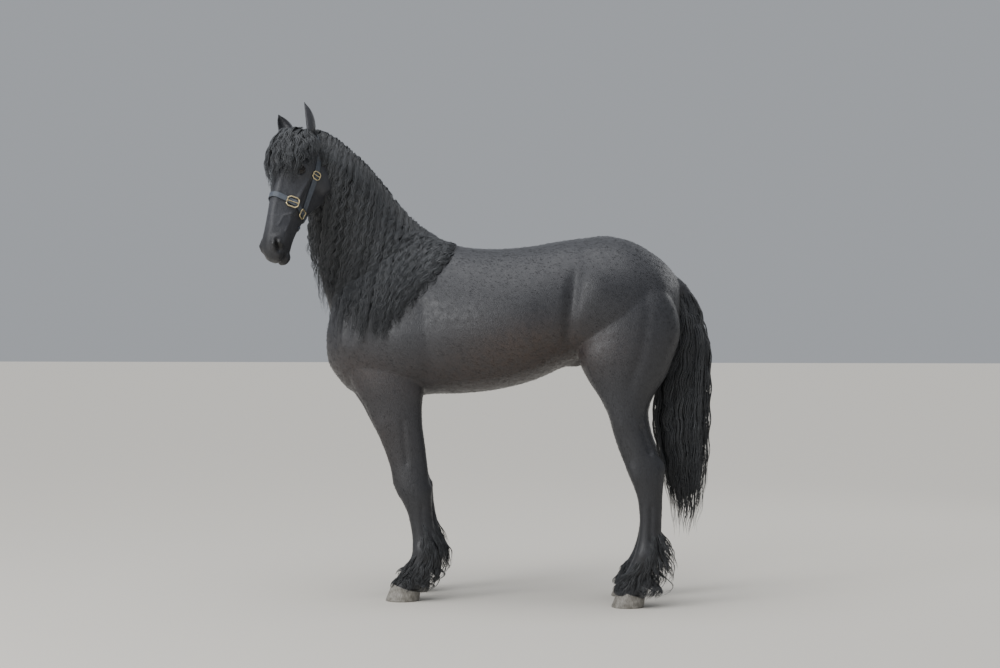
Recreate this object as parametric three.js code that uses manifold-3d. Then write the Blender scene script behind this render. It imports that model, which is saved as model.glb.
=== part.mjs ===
// A Friesian horse, standing square with its head turned to its left, as a still life-size model.
// Millimetres, +Z up. The horse faces -X and its left side is -Y. The origin lies on the floor under
// the middle of the model. The body is lofted from named stations, joined, and parted by thin plane
// cuts; mane, forelock, tail and feather are smooth forms fused to the piece that they grow from.
import * as THREE from "three";
import { mergeVertices } from "three/addons/utils/BufferGeometryUtils.js";
import Module from "manifold-3d";

const wasm = await Module();
wasm.setup();

// Driving sizes
const WITHERS = 1632; // height of the back over the shoulder
const GAP = 0.35; // clearance between touching pieces
const ORIGIN_SHIFT = new THREE.Vector3(-58, 129, 0); // puts the middle of the model over the origin
const ELBOW_CUT = 872; // the forelegs leave the trunk here
const STIFLE_CUT = 1000; // the hind legs leave the trunk here
const KNEE_CUT = 440; // the fore cannon starts here
const HOCK_CUT = 470; // the hind cannon starts here
const LEG_SIDES = 12;
const TRUNK_SIDES = 24;
const NECK_SIDES = 20;
const HEAD_SIDES = 20;

const v3 = (x, y, z) => new THREE.Vector3(x, y, z);
const mix = (a, b, t) => a + (b - a) * t;
const smooth = (t) => t * t * (3 - 2 * t);
const clamp01 = (t) => Math.min(1, Math.max(0, t));

// Solids

function solidOf(geometry) {
  const bare = new THREE.BufferGeometry();
  const source = geometry.index ? geometry.toNonIndexed() : geometry;
  bare.setAttribute("position", source.getAttribute("position"));
  const merged = mergeVertices(bare, 1e-3);
  const make = (flip) => {
    const triVerts = new Uint32Array(merged.index.array);
    if (flip) {
      for (let i = 0; i < triVerts.length; i += 3) {
        [triVerts[i + 1], triVerts[i + 2]] = [triVerts[i + 2], triVerts[i + 1]];
      }
    }
    const vertProperties = merged.attributes.position.array;
    return new wasm.Manifold(new wasm.Mesh({ numProp: 3, vertProperties, triVerts }));
  };
  const first = make(false);
  return first.volume() < 0 ? make(true) : first;
}

function geometryOf(solid) {
  const mesh = solid.getMesh();
  const points = new Float32Array(mesh.numVert * 3);
  for (let i = 0; i < mesh.numVert; i++) {
    points.set(mesh.vertProperties.subarray(i * mesh.numProp, i * mesh.numProp + 3), i * 3);
  }
  const geometry = new THREE.BufferGeometry();
  geometry.setAttribute("position", new THREE.BufferAttribute(points, 3));
  geometry.setIndex(new THREE.BufferAttribute(new Uint32Array(mesh.triVerts), 1));
  return geometry;
}

const union = (solids) => solids.reduce((all, next) => all.add(next));

// The largest closed body of a solid, so that loose scraps of a cut are dropped.
function largest(solid) {
  const bodies = solid.decompose();
  return bodies.reduce((best, next) => (next.volume() > best.volume() ? next : best));
}

// A closed skin over rings of equal length, with a fan over each end.
function loft(rings) {
  const sides = rings[0].length;
  const points = rings.flat();
  const faces = [];
  for (let r = 0; r + 1 < rings.length; r++) {
    for (let i = 0; i < sides; i++) {
      const a = r * sides + i;
      const b = r * sides + ((i + 1) % sides);
      faces.push(a, b, a + sides, b, b + sides, a + sides);
    }
  }
  for (const [ring, start, turned] of [
    [rings[0], 0, true],
    [rings.at(-1), (rings.length - 1) * sides, false],
  ]) {
    const middle = ring.reduce((sum, p) => sum.add(p), v3(0, 0, 0)).divideScalar(sides);
    const centre = points.push(middle) - 1;
    for (let i = 0; i < sides; i++) {
      const a = start + i;
      const b = start + ((i + 1) % sides);
      faces.push(...(turned ? [b, a, centre] : [a, b, centre]));
    }
  }
  const geometry = new THREE.BufferGeometry().setFromPoints(points);
  geometry.setIndex(faces);
  return solidOf(geometry);
}

// Values between stations, by a Catmull-Rom curve through each of their numbers.
function between(stations, at) {
  const i = Math.min(Math.floor(at), stations.length - 2);
  const t = at - i;
  const pick = (k) => stations[Math.min(Math.max(k, 0), stations.length - 1)];
  const [p0, p1, p2, p3] = [pick(i - 1), pick(i), pick(i + 1), pick(i + 2)];
  const made = {};
  for (const key of Object.keys(p1)) {
    const slope1 = (p2[key] - p0[key]) / 2;
    const slope2 = (p3[key] - p1[key]) / 2;
    const rise = p2[key] - p1[key];
    const cubic = slope1 + slope2 - 2 * rise;
    const square = 3 * rise - 2 * slope1 - slope2;
    made[key] = ((cubic * t + square) * t + slope1) * t + p1[key];
  }
  return made;
}

function refined(stations, steps) {
  const made = [];
  for (let i = 0; i < stations.length - 1; i++) {
    for (let k = 0; k < steps; k++) made.push(between(stations, i + k / steps));
  }
  made.push({ ...stations.at(-1) });
  return made;
}

const power = (value, exponent) => Math.sign(value) * Math.abs(value) ** exponent;

function boxSolid(low, high) {
  const size = high.clone().sub(low);
  const geometry = new THREE.BoxGeometry(size.x, size.y, size.z);
  const middle = low.clone().add(high).multiplyScalar(0.5);
  return solidOf(geometry.translate(middle.x, middle.y, middle.z));
}

// All space on the side of a plane that its normal points to, out to a few metres.
function halfSpace(point, normal, lift = 0) {
  const reach = 4000;
  const geometry = new THREE.BoxGeometry(reach, reach, reach).translate(0, 0, reach / 2 + lift);
  const turn = new THREE.Quaternion().setFromUnitVectors(v3(0, 0, 1), normal.clone().normalize());
  return solidOf(geometry.applyQuaternion(turn).translate(point.x, point.y, point.z));
}

// The two sides of a thin plane cut.
function parted(solid, point, normal) {
  const over = solid.intersect(halfSpace(point, normal, GAP / 2));
  const under = solid.intersect(halfSpace(point, normal.clone().negate(), GAP / 2));
  return [over, under];
}

// Trunk: sections across X, from the breast to the buttock.
const TRUNK = [
  { x: -712, top: 1270, bottom: 1075, half: 60, widest: 1165 },
  { x: -690, top: 1350, bottom: 1020, half: 135, widest: 1165 },
  { x: -620, top: 1460, bottom: 938, half: 212, widest: 1170 },
  { x: -520, top: 1540, bottom: 898, half: 252, widest: 1180 },
  { x: -380, top: 1612, bottom: 902, half: 272, widest: 1190 },
  { x: -240, top: WITHERS, bottom: 920, half: 285, widest: 1200 },
  { x: -100, top: 1594, bottom: 924, half: 306, widest: 1215 },
  { x: 60, top: 1582, bottom: 942, half: 322, widest: 1225 },
  { x: 220, top: 1592, bottom: 982, half: 322, widest: 1240 },
  { x: 350, top: 1612, bottom: 1040, half: 304, widest: 1270 },
  { x: 450, top: 1624, bottom: 1075, half: 296, widest: 1310 },
  { x: 560, top: 1634, bottom: 1080, half: 300, widest: 1340 },
  { x: 670, top: 1612, bottom: 1090, half: 286, widest: 1335 },
  { x: 770, top: 1556, bottom: 1115, half: 250, widest: 1310 },
  { x: 845, top: 1488, bottom: 1150, half: 195, widest: 1290 },
  { x: 892, top: 1412, bottom: 1200, half: 110, widest: 1280 },
];

function trunkSolid(grow) {
  const rings = refined(TRUNK, 1).map((s) => {
    const ring = [];
    for (let i = 0; i < TRUNK_SIDES; i++) {
      const a = (i / TRUNK_SIDES) * 2 * Math.PI;
      const rise = power(Math.sin(a), 0.92);
      const peak = s.x > -500 && s.x < 300 ? 0.12 : 0.02;
      const across = power(Math.cos(a), 0.86) * (1 - peak * Math.max(0, rise) ** 2);
      const reach = rise > 0 ? s.top - s.widest : s.widest - s.bottom;
      ring.push(v3(s.x, across * (s.half + grow), s.widest + rise * (reach + grow)));
    }
    return ring;
  });
  rings[0].forEach((p) => (p.x -= grow));
  rings.at(-1).forEach((p) => (p.x += grow));
  return loft(rings);
}

// Neck: each section spans from a crest point to a throat point. It bends to the left towards the poll.
const NECK = [
  { tx: -100, ty: 0, tz: 1540, bx: -560, by: 0, bz: 1090, half: 205 },
  { tx: -222, ty: 0, tz: 1644, bx: -690, by: -5, bz: 1235, half: 190 },
  { tx: -310, ty: -25, tz: 1700, bx: -732, by: -42, bz: 1372, half: 156 },
  { tx: -386, ty: -65, tz: 1780, bx: -750, by: -90, bz: 1490, half: 130 },
  { tx: -444, ty: -112, tz: 1866, bx: -748, by: -135, bz: 1600, half: 112 },
  { tx: -506, ty: -165, tz: 1948, bx: -734, by: -175, bz: 1712, half: 102 },
  { tx: -584, ty: -218, tz: 2028, bx: -716, by: -210, bz: 1816, half: 94 },
  { tx: -664, ty: -262, tz: 2086, bx: -708, by: -234, bz: 1900, half: 86 },
  { tx: -722, ty: -284, tz: 2100, bx: -718, by: -250, bz: 1945, half: 74 },
];

function neckFrame(s) {
  const crest = v3(s.tx, s.ty, s.tz);
  const throat = v3(s.bx, s.by, s.bz);
  const up = crest.clone().sub(throat);
  const depth = up.length();
  up.normalize();
  return { crest, throat, up, depth };
}

function neckSolid(grow) {
  const stations = refined(NECK, 1);
  const frames = stations.map(neckFrame);
  const rings = frames.map(({ crest, throat, up, depth }, k) => {
    const before = frames[Math.max(k - 1, 0)];
    const after = frames[Math.min(k + 1, frames.length - 1)];
    const along = after.crest.clone().add(after.throat).sub(before.crest).sub(before.throat);
    const side = along.cross(up).normalize();
    const centre = crest.clone().add(throat).multiplyScalar(0.5);
    const ring = [];
    for (let i = 0; i < NECK_SIDES; i++) {
      const a = (i / NECK_SIDES) * 2 * Math.PI;
      const rise = Math.sin(a);
      const taper = 1 - 0.34 * Math.max(0, rise) ** 1.6;
      const across = power(Math.cos(a), 0.9) * taper * (stations[k].half + grow);
      const height = power(rise, 0.95) * (depth / 2 + grow);
      ring.push(centre.clone().addScaledVector(side, across).addScaledVector(up, height));
    }
    return ring;
  });
  return loft(rings);
}

// Head: a frame of its own at the poll. u runs down the head, v to the forehead, w to the left cheek.
const POLL = v3(-764, -300, 2074);
const HEAD_PITCH = THREE.MathUtils.degToRad(26); // of u from straight down
const HEAD_YAW = THREE.MathUtils.degToRad(51); // of the nose from straight ahead to the left
const HEAD_TILT = THREE.MathUtils.degToRad(9); // swings the muzzle towards the left cheek
const HEADING = v3(-Math.cos(HEAD_YAW), -Math.sin(HEAD_YAW), 0);
const LEVEL_W = v3(0, 0, 1).cross(HEADING).normalize();
const AXIS_V = HEADING.clone().multiplyScalar(Math.cos(HEAD_PITCH)).add(v3(0, 0, Math.sin(HEAD_PITCH)));
const DOWN_U = HEADING.clone().multiplyScalar(Math.sin(HEAD_PITCH)).add(v3(0, 0, -Math.cos(HEAD_PITCH)));
const AXIS_U = DOWN_U.clone().multiplyScalar(Math.cos(HEAD_TILT)).addScaledVector(LEVEL_W, Math.sin(HEAD_TILT));
const AXIS_W = LEVEL_W.clone().multiplyScalar(Math.cos(HEAD_TILT)).addScaledVector(DOWN_U, -Math.sin(HEAD_TILT));
const headPoint = (u, v, w) =>
  POLL.clone().addScaledVector(AXIS_U, u).addScaledVector(AXIS_V, v).addScaledVector(AXIS_W, w);
const headFrame = new THREE.Matrix4().makeBasis(AXIS_U, AXIS_V, AXIS_W).setPosition(POLL);

// top, bottom: forehead and jaw lines. brow, cheek, jaw: half widths high, at mid height and low.
const HEAD = [
  { u: -18, top: 44, bottom: -90, brow: 30, cheek: 56, jaw: 30, mid: -32 },
  { u: 15, top: 66, bottom: -138, brow: 54, cheek: 80, jaw: 46, mid: -28 },
  { u: 70, top: 79, bottom: -186, brow: 70, cheek: 94, jaw: 62, mid: -18 },
  { u: 130, top: 82, bottom: -212, brow: 78, cheek: 102, jaw: 70, mid: -6 },
  { u: 190, top: 80, bottom: -214, brow: 80, cheek: 104, jaw: 72, mid: 4 },
  { u: 250, top: 72, bottom: -190, brow: 62, cheek: 90, jaw: 62, mid: -14 },
  { u: 320, top: 61, bottom: -150, brow: 47, cheek: 73, jaw: 48, mid: -24 },
  { u: 400, top: 48, bottom: -122, brow: 39, cheek: 60, jaw: 38, mid: -26 },
  { u: 470, top: 38, bottom: -110, brow: 37, cheek: 56, jaw: 34, mid: -26 },
  { u: 530, top: 30, bottom: -110, brow: 39, cheek: 60, jaw: 34, mid: -26 },
  { u: 572, top: 15, bottom: -106, brow: 37, cheek: 58, jaw: 34, mid: -30 },
  { u: 600, top: -6, bottom: -92, brow: 28, cheek: 46, jaw: 26, mid: -38 },
  { u: 612, top: -26, bottom: -74, brow: 14, cheek: 27, jaw: 14, mid: -48 },
];

function headRing(s, grow) {
  const low = mix(s.mid, s.bottom, 0.62);
  const high = mix(s.mid, s.top, 0.62);
  const half = [
    [0, s.top],
    [s.brow * 0.62, mix(high, s.top, 0.86)],
    [s.brow, high],
    [s.cheek, s.mid],
    [mix(s.cheek, s.jaw, 0.45), mix(s.mid, low, 0.62)],
    [s.jaw, low],
    [s.jaw * 0.55, mix(low, s.bottom, 0.86)],
    [0, s.bottom],
  ];
  const outline = half.concat(half.slice(1, -1).reverse().map(([w, v]) => [-w, v]));
  const curve = new THREE.CatmullRomCurve3(outline.map(([w, v]) => v3(w, v, 0)), true, "centripetal");
  const centre = (s.top + s.bottom) / 2;
  return curve.getPoints(HEAD_SIDES).slice(0, HEAD_SIDES).map((p) => {
    const away = v3(p.x, p.y - centre, 0).normalize().multiplyScalar(grow);
    return headPoint(s.u, p.y + away.y, p.x + away.x);
  });
}

function headLoft(grow) {
  return loft(refined(HEAD, 1).map((s) => headRing(s, grow)));
}

// An ellipsoid in the head's frame, turned about w by a tilt in degrees.
function headBall([u, v, w], [ru, rv, rw], tilt = 0, columns = 10, rows = 6) {
  const geometry = new THREE.SphereGeometry(1, columns, rows).scale(ru, rv, rw);
  geometry.rotateZ(THREE.MathUtils.degToRad(tilt));
  return solidOf(geometry.translate(u, v, w).applyMatrix4(headFrame));
}

const EYE_U = 205;
const EYE_V = 14;
const EYE_W = 86;
const EYE_RADIUS = 21;
const LID_RADIUS = 25;

// The bulge of both lids, with an almond opening in front of the eyeball.
function lids(side) {
  return headBall([EYE_U, EYE_V, side * EYE_W], [LID_RADIUS + 4, LID_RADIUS, LID_RADIUS], -12, 12, 8);
}

function eyeBall(side, radius) {
  return headBall([EYE_U, EYE_V, side * EYE_W], Array(3).fill(radius), 0, 12, 8);
}

function eyeOpening(side) {
  const almond = headBall([EYE_U, EYE_V, side * (EYE_W + 22)], [19, 11, 20], -14);
  return eyeBall(side, EYE_RADIUS + GAP).add(almond);
}

function headSolid(grow) {
  const parts = [headLoft(grow)];
  for (const side of [1, -1]) {
    // round jaw muscle, ridge of the cheekbone, arch over the eye and flare of the nostril
    parts.push(headBall([150, -112, side * 56], [98 + grow, 88 + grow, 42 + grow], 10, 12, 8));
    parts.push(headBall([296, -26, side * 50], [80 + grow, 18 + grow, 28 + grow], -2));
    parts.push(headBall([182, 42, side * 76], [40 + grow, 23 + grow, 27 + grow], -16));
    parts.push(headBall([552, -12, side * 38], [40 + grow, 28 + grow, 29 + grow], -28));
    if (grow === 0) parts.push(lids(side));
  }
  parts.push(headBall([576, -98, 0], [32 + grow, 22 + grow, 32 + grow], 8));
  return union(parts);
}

// Mouth line: a shallow groove between the lips, back to the corner of the mouth.
function mouthGroove() {
  const slab = new THREE.BoxGeometry(150, 4, 200).rotateZ(THREE.MathUtils.degToRad(9));
  const cut = solidOf(slab.translate(572, -74, 0).applyMatrix4(headFrame));
  return cut.subtract(headLoft(-9));
}

function carvedHead() {
  let head = headSolid(0);
  for (const side of [1, -1]) {
    head = head.subtract(eyeOpening(side));
    head = head.subtract(headBall([558, -8, side * 64], [25, 11, 20], -38));
  }
  return largest(head.subtract(mouthGroove()));
}

// Ears: a cupped leaf, lofted from crescent rings. Each has a way that its opening faces.
const EAR_LENGTH = 128;
const EAR_HALF = 30;
const EARS = [
  { side: 1, name: "left_ear", lean: 0.06, forward: 0.6, openV: 1, openW: -0.1, apart: 64 },
  { side: -1, name: "right_ear", lean: 0.66, forward: 0.3, openV: 0.9, openW: 0.5, apart: 78 },
];

function earSolid({ side, lean, forward, openV, openW, apart }, grow) {
  const root = headPoint(4, 26, side * apart);
  const up = AXIS_U.clone().multiplyScalar(-1).addScaledVector(AXIS_W, side * lean).addScaledVector(AXIS_V, forward);
  up.normalize();
  const open = AXIS_V.clone().multiplyScalar(openV).addScaledVector(AXIS_W, openW);
  open.addScaledVector(up, -open.dot(up)).normalize();
  const across = up.clone().cross(open).normalize();
  const rings = [];
  const steps = 6;
  const arc = 5;
  for (let k = 0; k <= steps; k++) {
    const t = k / steps;
    const width = EAR_HALF * (k === steps ? 0.12 : Math.sin(Math.PI * (0.28 + 0.69 * t)) ** 0.8) + grow;
    const wall = mix(11, 3.4, smooth(t)) + 2 * grow;
    const cup = width * mix(0.3, 1.1, smooth(clamp01(t * 3)));
    const centre = root.clone().addScaledVector(up, mix(-36, EAR_LENGTH, t) + (k === steps ? grow : 0));
    centre.addScaledVector(across, -side * 10 * Math.sin(Math.PI * t) + side * 12 * t * t);
    const ring = [];
    for (let i = 0; i <= arc; i++) {
      const a = (Math.PI * i) / arc;
      const point = centre.clone().addScaledVector(across, -Math.cos(a) * width);
      ring.push(point.addScaledVector(open, -grow - Math.sin(a) * cup));
    }
    for (let i = arc; i >= 0; i--) {
      const a = (Math.PI * i) / arc;
      const inside = 1 - Math.min(wall / width, 0.7);
      const point = centre.clone().addScaledVector(across, -Math.cos(a) * width * inside);
      const depth = Math.sin(a) * Math.max(cup - wall, 0.5);
      ring.push(point.addScaledVector(open, grow + wall * 0.25 - depth));
    }
    rings.push(ring);
  }
  return loft(rings);
}

// Legs: level sections, from the trunk down to the coronet. outer and inner are distances from the
// middle plane, turn swings the foot out.
const FORELEG = [
  { z: 1180, front: -600, rear: -330, outer: 222, inner: 100, turn: 0 },
  { z: 1060, front: -608, rear: -272, outer: 236, inner: 82, turn: 0 },
  { z: 950, front: -566, rear: -246, outer: 234, inner: 82, turn: 0 },
  { z: 870, front: -516, rear: -252, outer: 222, inner: 92, turn: 0 },
  { z: 790, front: -480, rear: -250, outer: 212, inner: 102, turn: 0 },
  { z: 700, front: -438, rear: -238, outer: 203, inner: 108, turn: 0 },
  { z: 620, front: -408, rear: -228, outer: 199, inner: 112, turn: 0 },
  { z: 550, front: -390, rear: -220, outer: 202, inner: 106, turn: 0 },
  { z: 490, front: -368, rear: -208, outer: 204, inner: 104, turn: 0 },
  { z: 440, front: -344, rear: -206, outer: 198, inner: 112, turn: 0 },
  { z: 380, front: -318, rear: -206, outer: 192, inner: 118, turn: 0 },
  { z: 300, front: -302, rear: -192, outer: 191, inner: 119, turn: 0 },
  { z: 245, front: -298, rear: -174, outer: 197, inner: 113, turn: 2 },
  { z: 205, front: -302, rear: -168, outer: 202, inner: 108, turn: 3 },
  { z: 165, front: -322, rear: -190, outer: 200, inner: 110, turn: 4 },
  { z: 120, front: -354, rear: -228, outer: 203, inner: 107, turn: 5 },
  { z: 84, front: -382, rear: -254, outer: 213, inner: 97, turn: 5 },
  { z: 50, front: -398, rear: -262, outer: 218, inner: 92, turn: 5 },
];
const HINDLEG = [
  { z: 1440, front: 560, rear: 800, outer: 236, inner: 60, turn: 0 },
  { z: 1320, front: 500, rear: 878, outer: 274, inner: 40, turn: 0 },
  { z: 1200, front: 462, rear: 902, outer: 288, inner: 28, turn: 0 },
  { z: 1090, front: 452, rear: 872, outer: 290, inner: 28, turn: 0 },
  { z: 1000, front: 490, rear: 836, outer: 276, inner: 44, turn: 0 },
  { z: 915, front: 546, rear: 780, outer: 256, inner: 76, turn: 0 },
  { z: 840, front: 584, rear: 756, outer: 244, inner: 98, turn: 0 },
  { z: 760, front: 607, rear: 768, outer: 236, inner: 110, turn: 0 },
  { z: 690, front: 630, rear: 794, outer: 231, inner: 118, turn: 0 },
  { z: 625, front: 656, rear: 826, outer: 230, inner: 118, turn: 0 },
  { z: 580, front: 673, rear: 834, outer: 230, inner: 118, turn: 2 },
  { z: 525, front: 697, rear: 830, outer: 226, inner: 123, turn: 4 },
  { z: 470, front: 714, rear: 826, outer: 219, inner: 131, turn: 6 },
  { z: 400, front: 722, rear: 822, outer: 215, inner: 135, turn: 8 },
  { z: 320, front: 720, rear: 820, outer: 214, inner: 136, turn: 10 },
  { z: 255, front: 708, rear: 828, outer: 220, inner: 130, turn: 14 },
  { z: 212, front: 694, rear: 828, outer: 224, inner: 126, turn: 17 },
  { z: 165, front: 670, rear: 796, outer: 223, inner: 127, turn: 18 },
  { z: 120, front: 642, rear: 762, outer: 226, inner: 124, turn: 18 },
  { z: 84, front: 622, rear: 742, outer: 236, inner: 114, turn: 18 },
  { z: 50, front: 610, rear: 738, outer: 241, inner: 109, turn: 18 },
];

const FEET = {
  fore: { stations: FORELEG, coronet: { front: -390, rear: -268 }, cut: KNEE_CUT, top: ELBOW_CUT },
  hind: { stations: HINDLEG, coronet: { front: 616, rear: 742 }, cut: HOCK_CUT, top: STIFLE_CUT },
};

// side is -1 for the left legs. The right legs stand a little further forward.
const RIGHT_FORWARD = { fore: { top: 100, foot: 22 }, hind: { top: 20, foot: 40 } };

function footShift(kind, side, z) {
  if (side < 0) return 0;
  const { top, foot } = RIGHT_FORWARD[kind];
  return -mix(foot, top, clamp01(z / 900)) * clamp01((1350 - z) / 300);
}

function legRing(s, side, kind, grow, sides = LEG_SIDES) {
  const centreX = (s.front + s.rear) / 2 + footShift(kind, side, s.z);
  const centreY = (side * (s.outer + s.inner)) / 2;
  const long = (s.rear - s.front) / 2 + grow;
  const wide = (s.outer - s.inner) / 2 + grow;
  const turn = THREE.MathUtils.degToRad(s.turn) * -side;
  const ring = [];
  for (let i = 0; i < sides; i++) {
    const a = (i / sides) * 2 * Math.PI;
    const x = power(Math.cos(a), 0.94) * long;
    const y = power(Math.sin(a), 0.94) * wide;
    ring.push(
      v3(
        centreX + x * Math.cos(turn) - y * Math.sin(turn),
        centreY + x * Math.sin(turn) + y * Math.cos(turn),
        s.z,
      ),
    );
  }
  return ring;
}

function legSolid(kind, side, grow) {
  return loft(refined(FEET[kind].stations, 1).map((s) => legRing(s, side, kind, grow)));
}

// Hoof: a flat sole, a wall that leans forward and a coronet that falls towards the heel.
const HOOF = {
  fore: { toe: -420, heel: -268, outer: 227, inner: 83, turn: 5 },
  hind: { toe: 600, heel: 742, outer: 246, inner: 104, turn: 18 },
};
const CORONET_TOE = 88;
const CORONET_HEEL = 40;

function coronetPlane(kind, side) {
  const { toe, heel } = HOOF[kind];
  const shift = footShift(kind, side, 0);
  const point = v3((toe + heel) / 2 + shift, 0, (CORONET_TOE + CORONET_HEEL) / 2);
  const normal = v3(CORONET_TOE - CORONET_HEEL, 0, heel - toe).normalize();
  return [point, normal];
}

function hoofSolid(kind, side, grow) {
  const { toe, heel, outer, inner, turn } = HOOF[kind];
  const rings = [-grow, 55, 110].map((z) => {
    const s = {
      z,
      front: toe + z * 0.42,
      rear: heel + z * 0.12,
      outer: outer - z * 0.12,
      inner: inner + z * 0.12,
      turn,
    };
    return legRing(s, side, kind, grow, 16);
  });
  const [point, normal] = coronetPlane(kind, side);
  return loft(rings).intersect(halfSpace(point, normal.clone().negate(), GAP / 2 - grow));
}

// Dock of the tail and the core of its hair, which reaches half way down.
const TAIL = [
  { x: 820, z: 1440, front: 34, half: 30 },
  { x: 868, z: 1420, front: 34, half: 32 },
  { x: 916, z: 1366, front: 36, half: 34 },
  { x: 940, z: 1290, front: 40, half: 38 },
  { x: 952, z: 1180, front: 44, half: 44 },
  { x: 948, z: 1060, front: 44, half: 46 },
  { x: 938, z: 940, front: 36, half: 40 },
  { x: 930, z: 840, front: 14, half: 16 },
];

function tubeAlong(stations, sides, grow) {
  const rings = stations.map((s, k) => {
    const before = stations[Math.max(k - 1, 0)];
    const after = stations[Math.min(k + 1, stations.length - 1)];
    const along = v3(after.x - before.x, 0, after.z - before.z).normalize();
    const outward = v3(-along.z, 0, along.x);
    const ring = [];
    for (let i = 0; i < sides; i++) {
      const a = (i / sides) * 2 * Math.PI;
      const point = v3(s.x, 0, s.z).addScaledVector(outward, Math.cos(a) * (s.front + grow));
      ring.push(point.add(v3(0, Math.sin(a) * (s.half + grow), 0)));
    }
    return ring;
  });
  return loft(rings);
}

// Halter: flat straps that lie on the skin, with brass fittings.
const STRAP = 4; // thickness of the leather
const STRAP_WIDTH = 26;
const NOSE_BAND_U = 352;
const NOSE_BAND_SLOPE = THREE.MathUtils.degToRad(9);
const CHEEK_STRAP_V = -58; // half way between the noseband and the poll
const CHEEK_STRAP_SLOPE = 0.16;
const CHEEK_STRAP_TOP = -75;

// Head and the upper neck together, which the straps lie on.
const pollSolid = (grow) => headSolid(grow).add(neckSolid(grow));
const strapShell = pollSolid(GAP + STRAP).subtract(pollSolid(GAP));

// A block in the head's frame that picks a strap out of the shell.
function headBlock([u0, v0, w0], [u1, v1, w1], turn = 0) {
  const geometry = new THREE.BoxGeometry(u1 - u0, v1 - v0, w1 - w0);
  geometry.rotateZ(turn).translate((u0 + u1) / 2, (v0 + v1) / 2, (w0 + w1) / 2);
  return solidOf(geometry.applyMatrix4(headFrame));
}

function noseBandBlock(clear) {
  const half = STRAP_WIDTH / 2 + clear;
  const u = NOSE_BAND_U;
  return headBlock([u - half, -220, -170], [u + half, 140, 170], NOSE_BAND_SLOPE);
}

// The strap that runs from one side of the noseband over the poll to the other.
function crownBlock(clear) {
  const half = STRAP_WIDTH / 2 + clear;
  const v = CHEEK_STRAP_V;
  const block = headBlock([CHEEK_STRAP_TOP, v - half, -190], [NOSE_BAND_U, v + half, 190], -CHEEK_STRAP_SLOPE);
  return block.subtract(noseBandBlock(GAP));
}

const noseBand = () => largest(strapShell.intersect(noseBandBlock(0)).intersect(headSolid(GAP + STRAP)));
const crownStrap = () => largest(strapShell.intersect(crownBlock(0)));

// Everything in front of the crown strap's rear edge: the mane starts behind it.
function beforeStrap() {
  const depth = 200;
  const half = depth * Math.cos(CHEEK_STRAP_SLOPE) + STRAP_WIDTH / 2 + 2;
  const v = CHEEK_STRAP_V + depth;
  return headBlock([CHEEK_STRAP_TOP - 60, v - half, -400], [NOSE_BAND_U + 60, v + half, 400], -CHEEK_STRAP_SLOPE);
}

// Room that hair leaves for the straps.
function strapSpace() {
  return pollSolid(2 * GAP + STRAP).intersect(crownBlock(GAP).add(noseBandBlock(GAP)));
}

// A flat ring of round wire that lies over the skin at (u, v) on one cheek.
function cheekRing(u, v, side, halfU, halfV, wire, turn, corners) {
  const geometry = new THREE.TorusGeometry(1, wire / Math.min(halfU, halfV), 6, corners);
  geometry.rotateZ(corners === 4 ? Math.PI / 4 : 0);
  const stretch = corners === 4 ? Math.SQRT2 : 1;
  geometry.scale(halfU * stretch, halfV * stretch, Math.min(halfU, halfV)).rotateZ(turn);
  const seat = ringSeat(u, v, side, Math.max(halfU, halfV));
  return solidOf(geometry.applyMatrix4(seat.setPosition(seat.at.addScaledVector(seat.out, wire + 0.4))));
}

const headMesh = new THREE.Mesh(
  geometryOf(headSolid(GAP + STRAP)),
  new THREE.MeshBasicMaterial({ side: THREE.DoubleSide }),
);
headMesh.geometry.computeVertexNormals();

// Where a line along w meets the strap surface, and a frame that lies flat on it.
function ringSeat(u, v, side, reach) {
  const touch = (du, dv) => {
    const from = headPoint(u + du, v + dv, side * 300);
    const ray = new THREE.Raycaster(from, AXIS_W.clone().multiplyScalar(-side));
    return ray.intersectObject(headMesh)[0].point;
  };
  const [a, b, c] = [touch(reach, 0), touch(-reach * 0.6, reach * 0.8), touch(-reach * 0.6, -reach * 0.8)];
  const out = b.clone().sub(a).cross(c.clone().sub(a)).normalize();
  if (out.dot(AXIS_W) * side < 0) out.negate();
  const highest = [a, b, c, touch(0, 0)].reduce((p, q) => (q.dot(out) > p.dot(out) ? q : p));
  const at = touch(0, 0);
  at.addScaledVector(out, highest.dot(out) - at.dot(out));
  const along = AXIS_U.clone().addScaledVector(out, -AXIS_U.dot(out)).normalize();
  const seat = new THREE.Matrix4().makeBasis(along, out.clone().cross(along), out);
  seat.at = at;
  seat.out = out;
  return seat;
}

function chinStrap() {
  const block = headBlock([NOSE_BAND_U + 50, -200, -80], [NOSE_BAND_U + 66, -92, 80], 0.3);
  return strapShell.intersect(block);
}

// Flesh: everything joined, then parted by planes.

const NECK_CUT_POINT = v3(-205, 0, 1634);
const NECK_CUT_NORMAL = v3(-0.68, 0, 0.73).normalize();
const HEAD_CUT_POINT = headPoint(6, 0, 0);
const HEAD_CUT_NORMAL = AXIS_U.clone().multiplyScalar(0.42).addScaledVector(AXIS_V, 0.9).normalize();

const legs = [];
for (const kind of ["fore", "hind"]) for (const side of [-1, 1]) legs.push({ kind, side });

function wholeBody(grow) {
  return union([trunkSolid(grow), neckSolid(grow), ...legs.map(({ kind, side }) => legSolid(kind, side, grow))]);
}

// Hair: one smooth form each, out to the tips.

const flesh = wholeBody(0);

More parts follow.
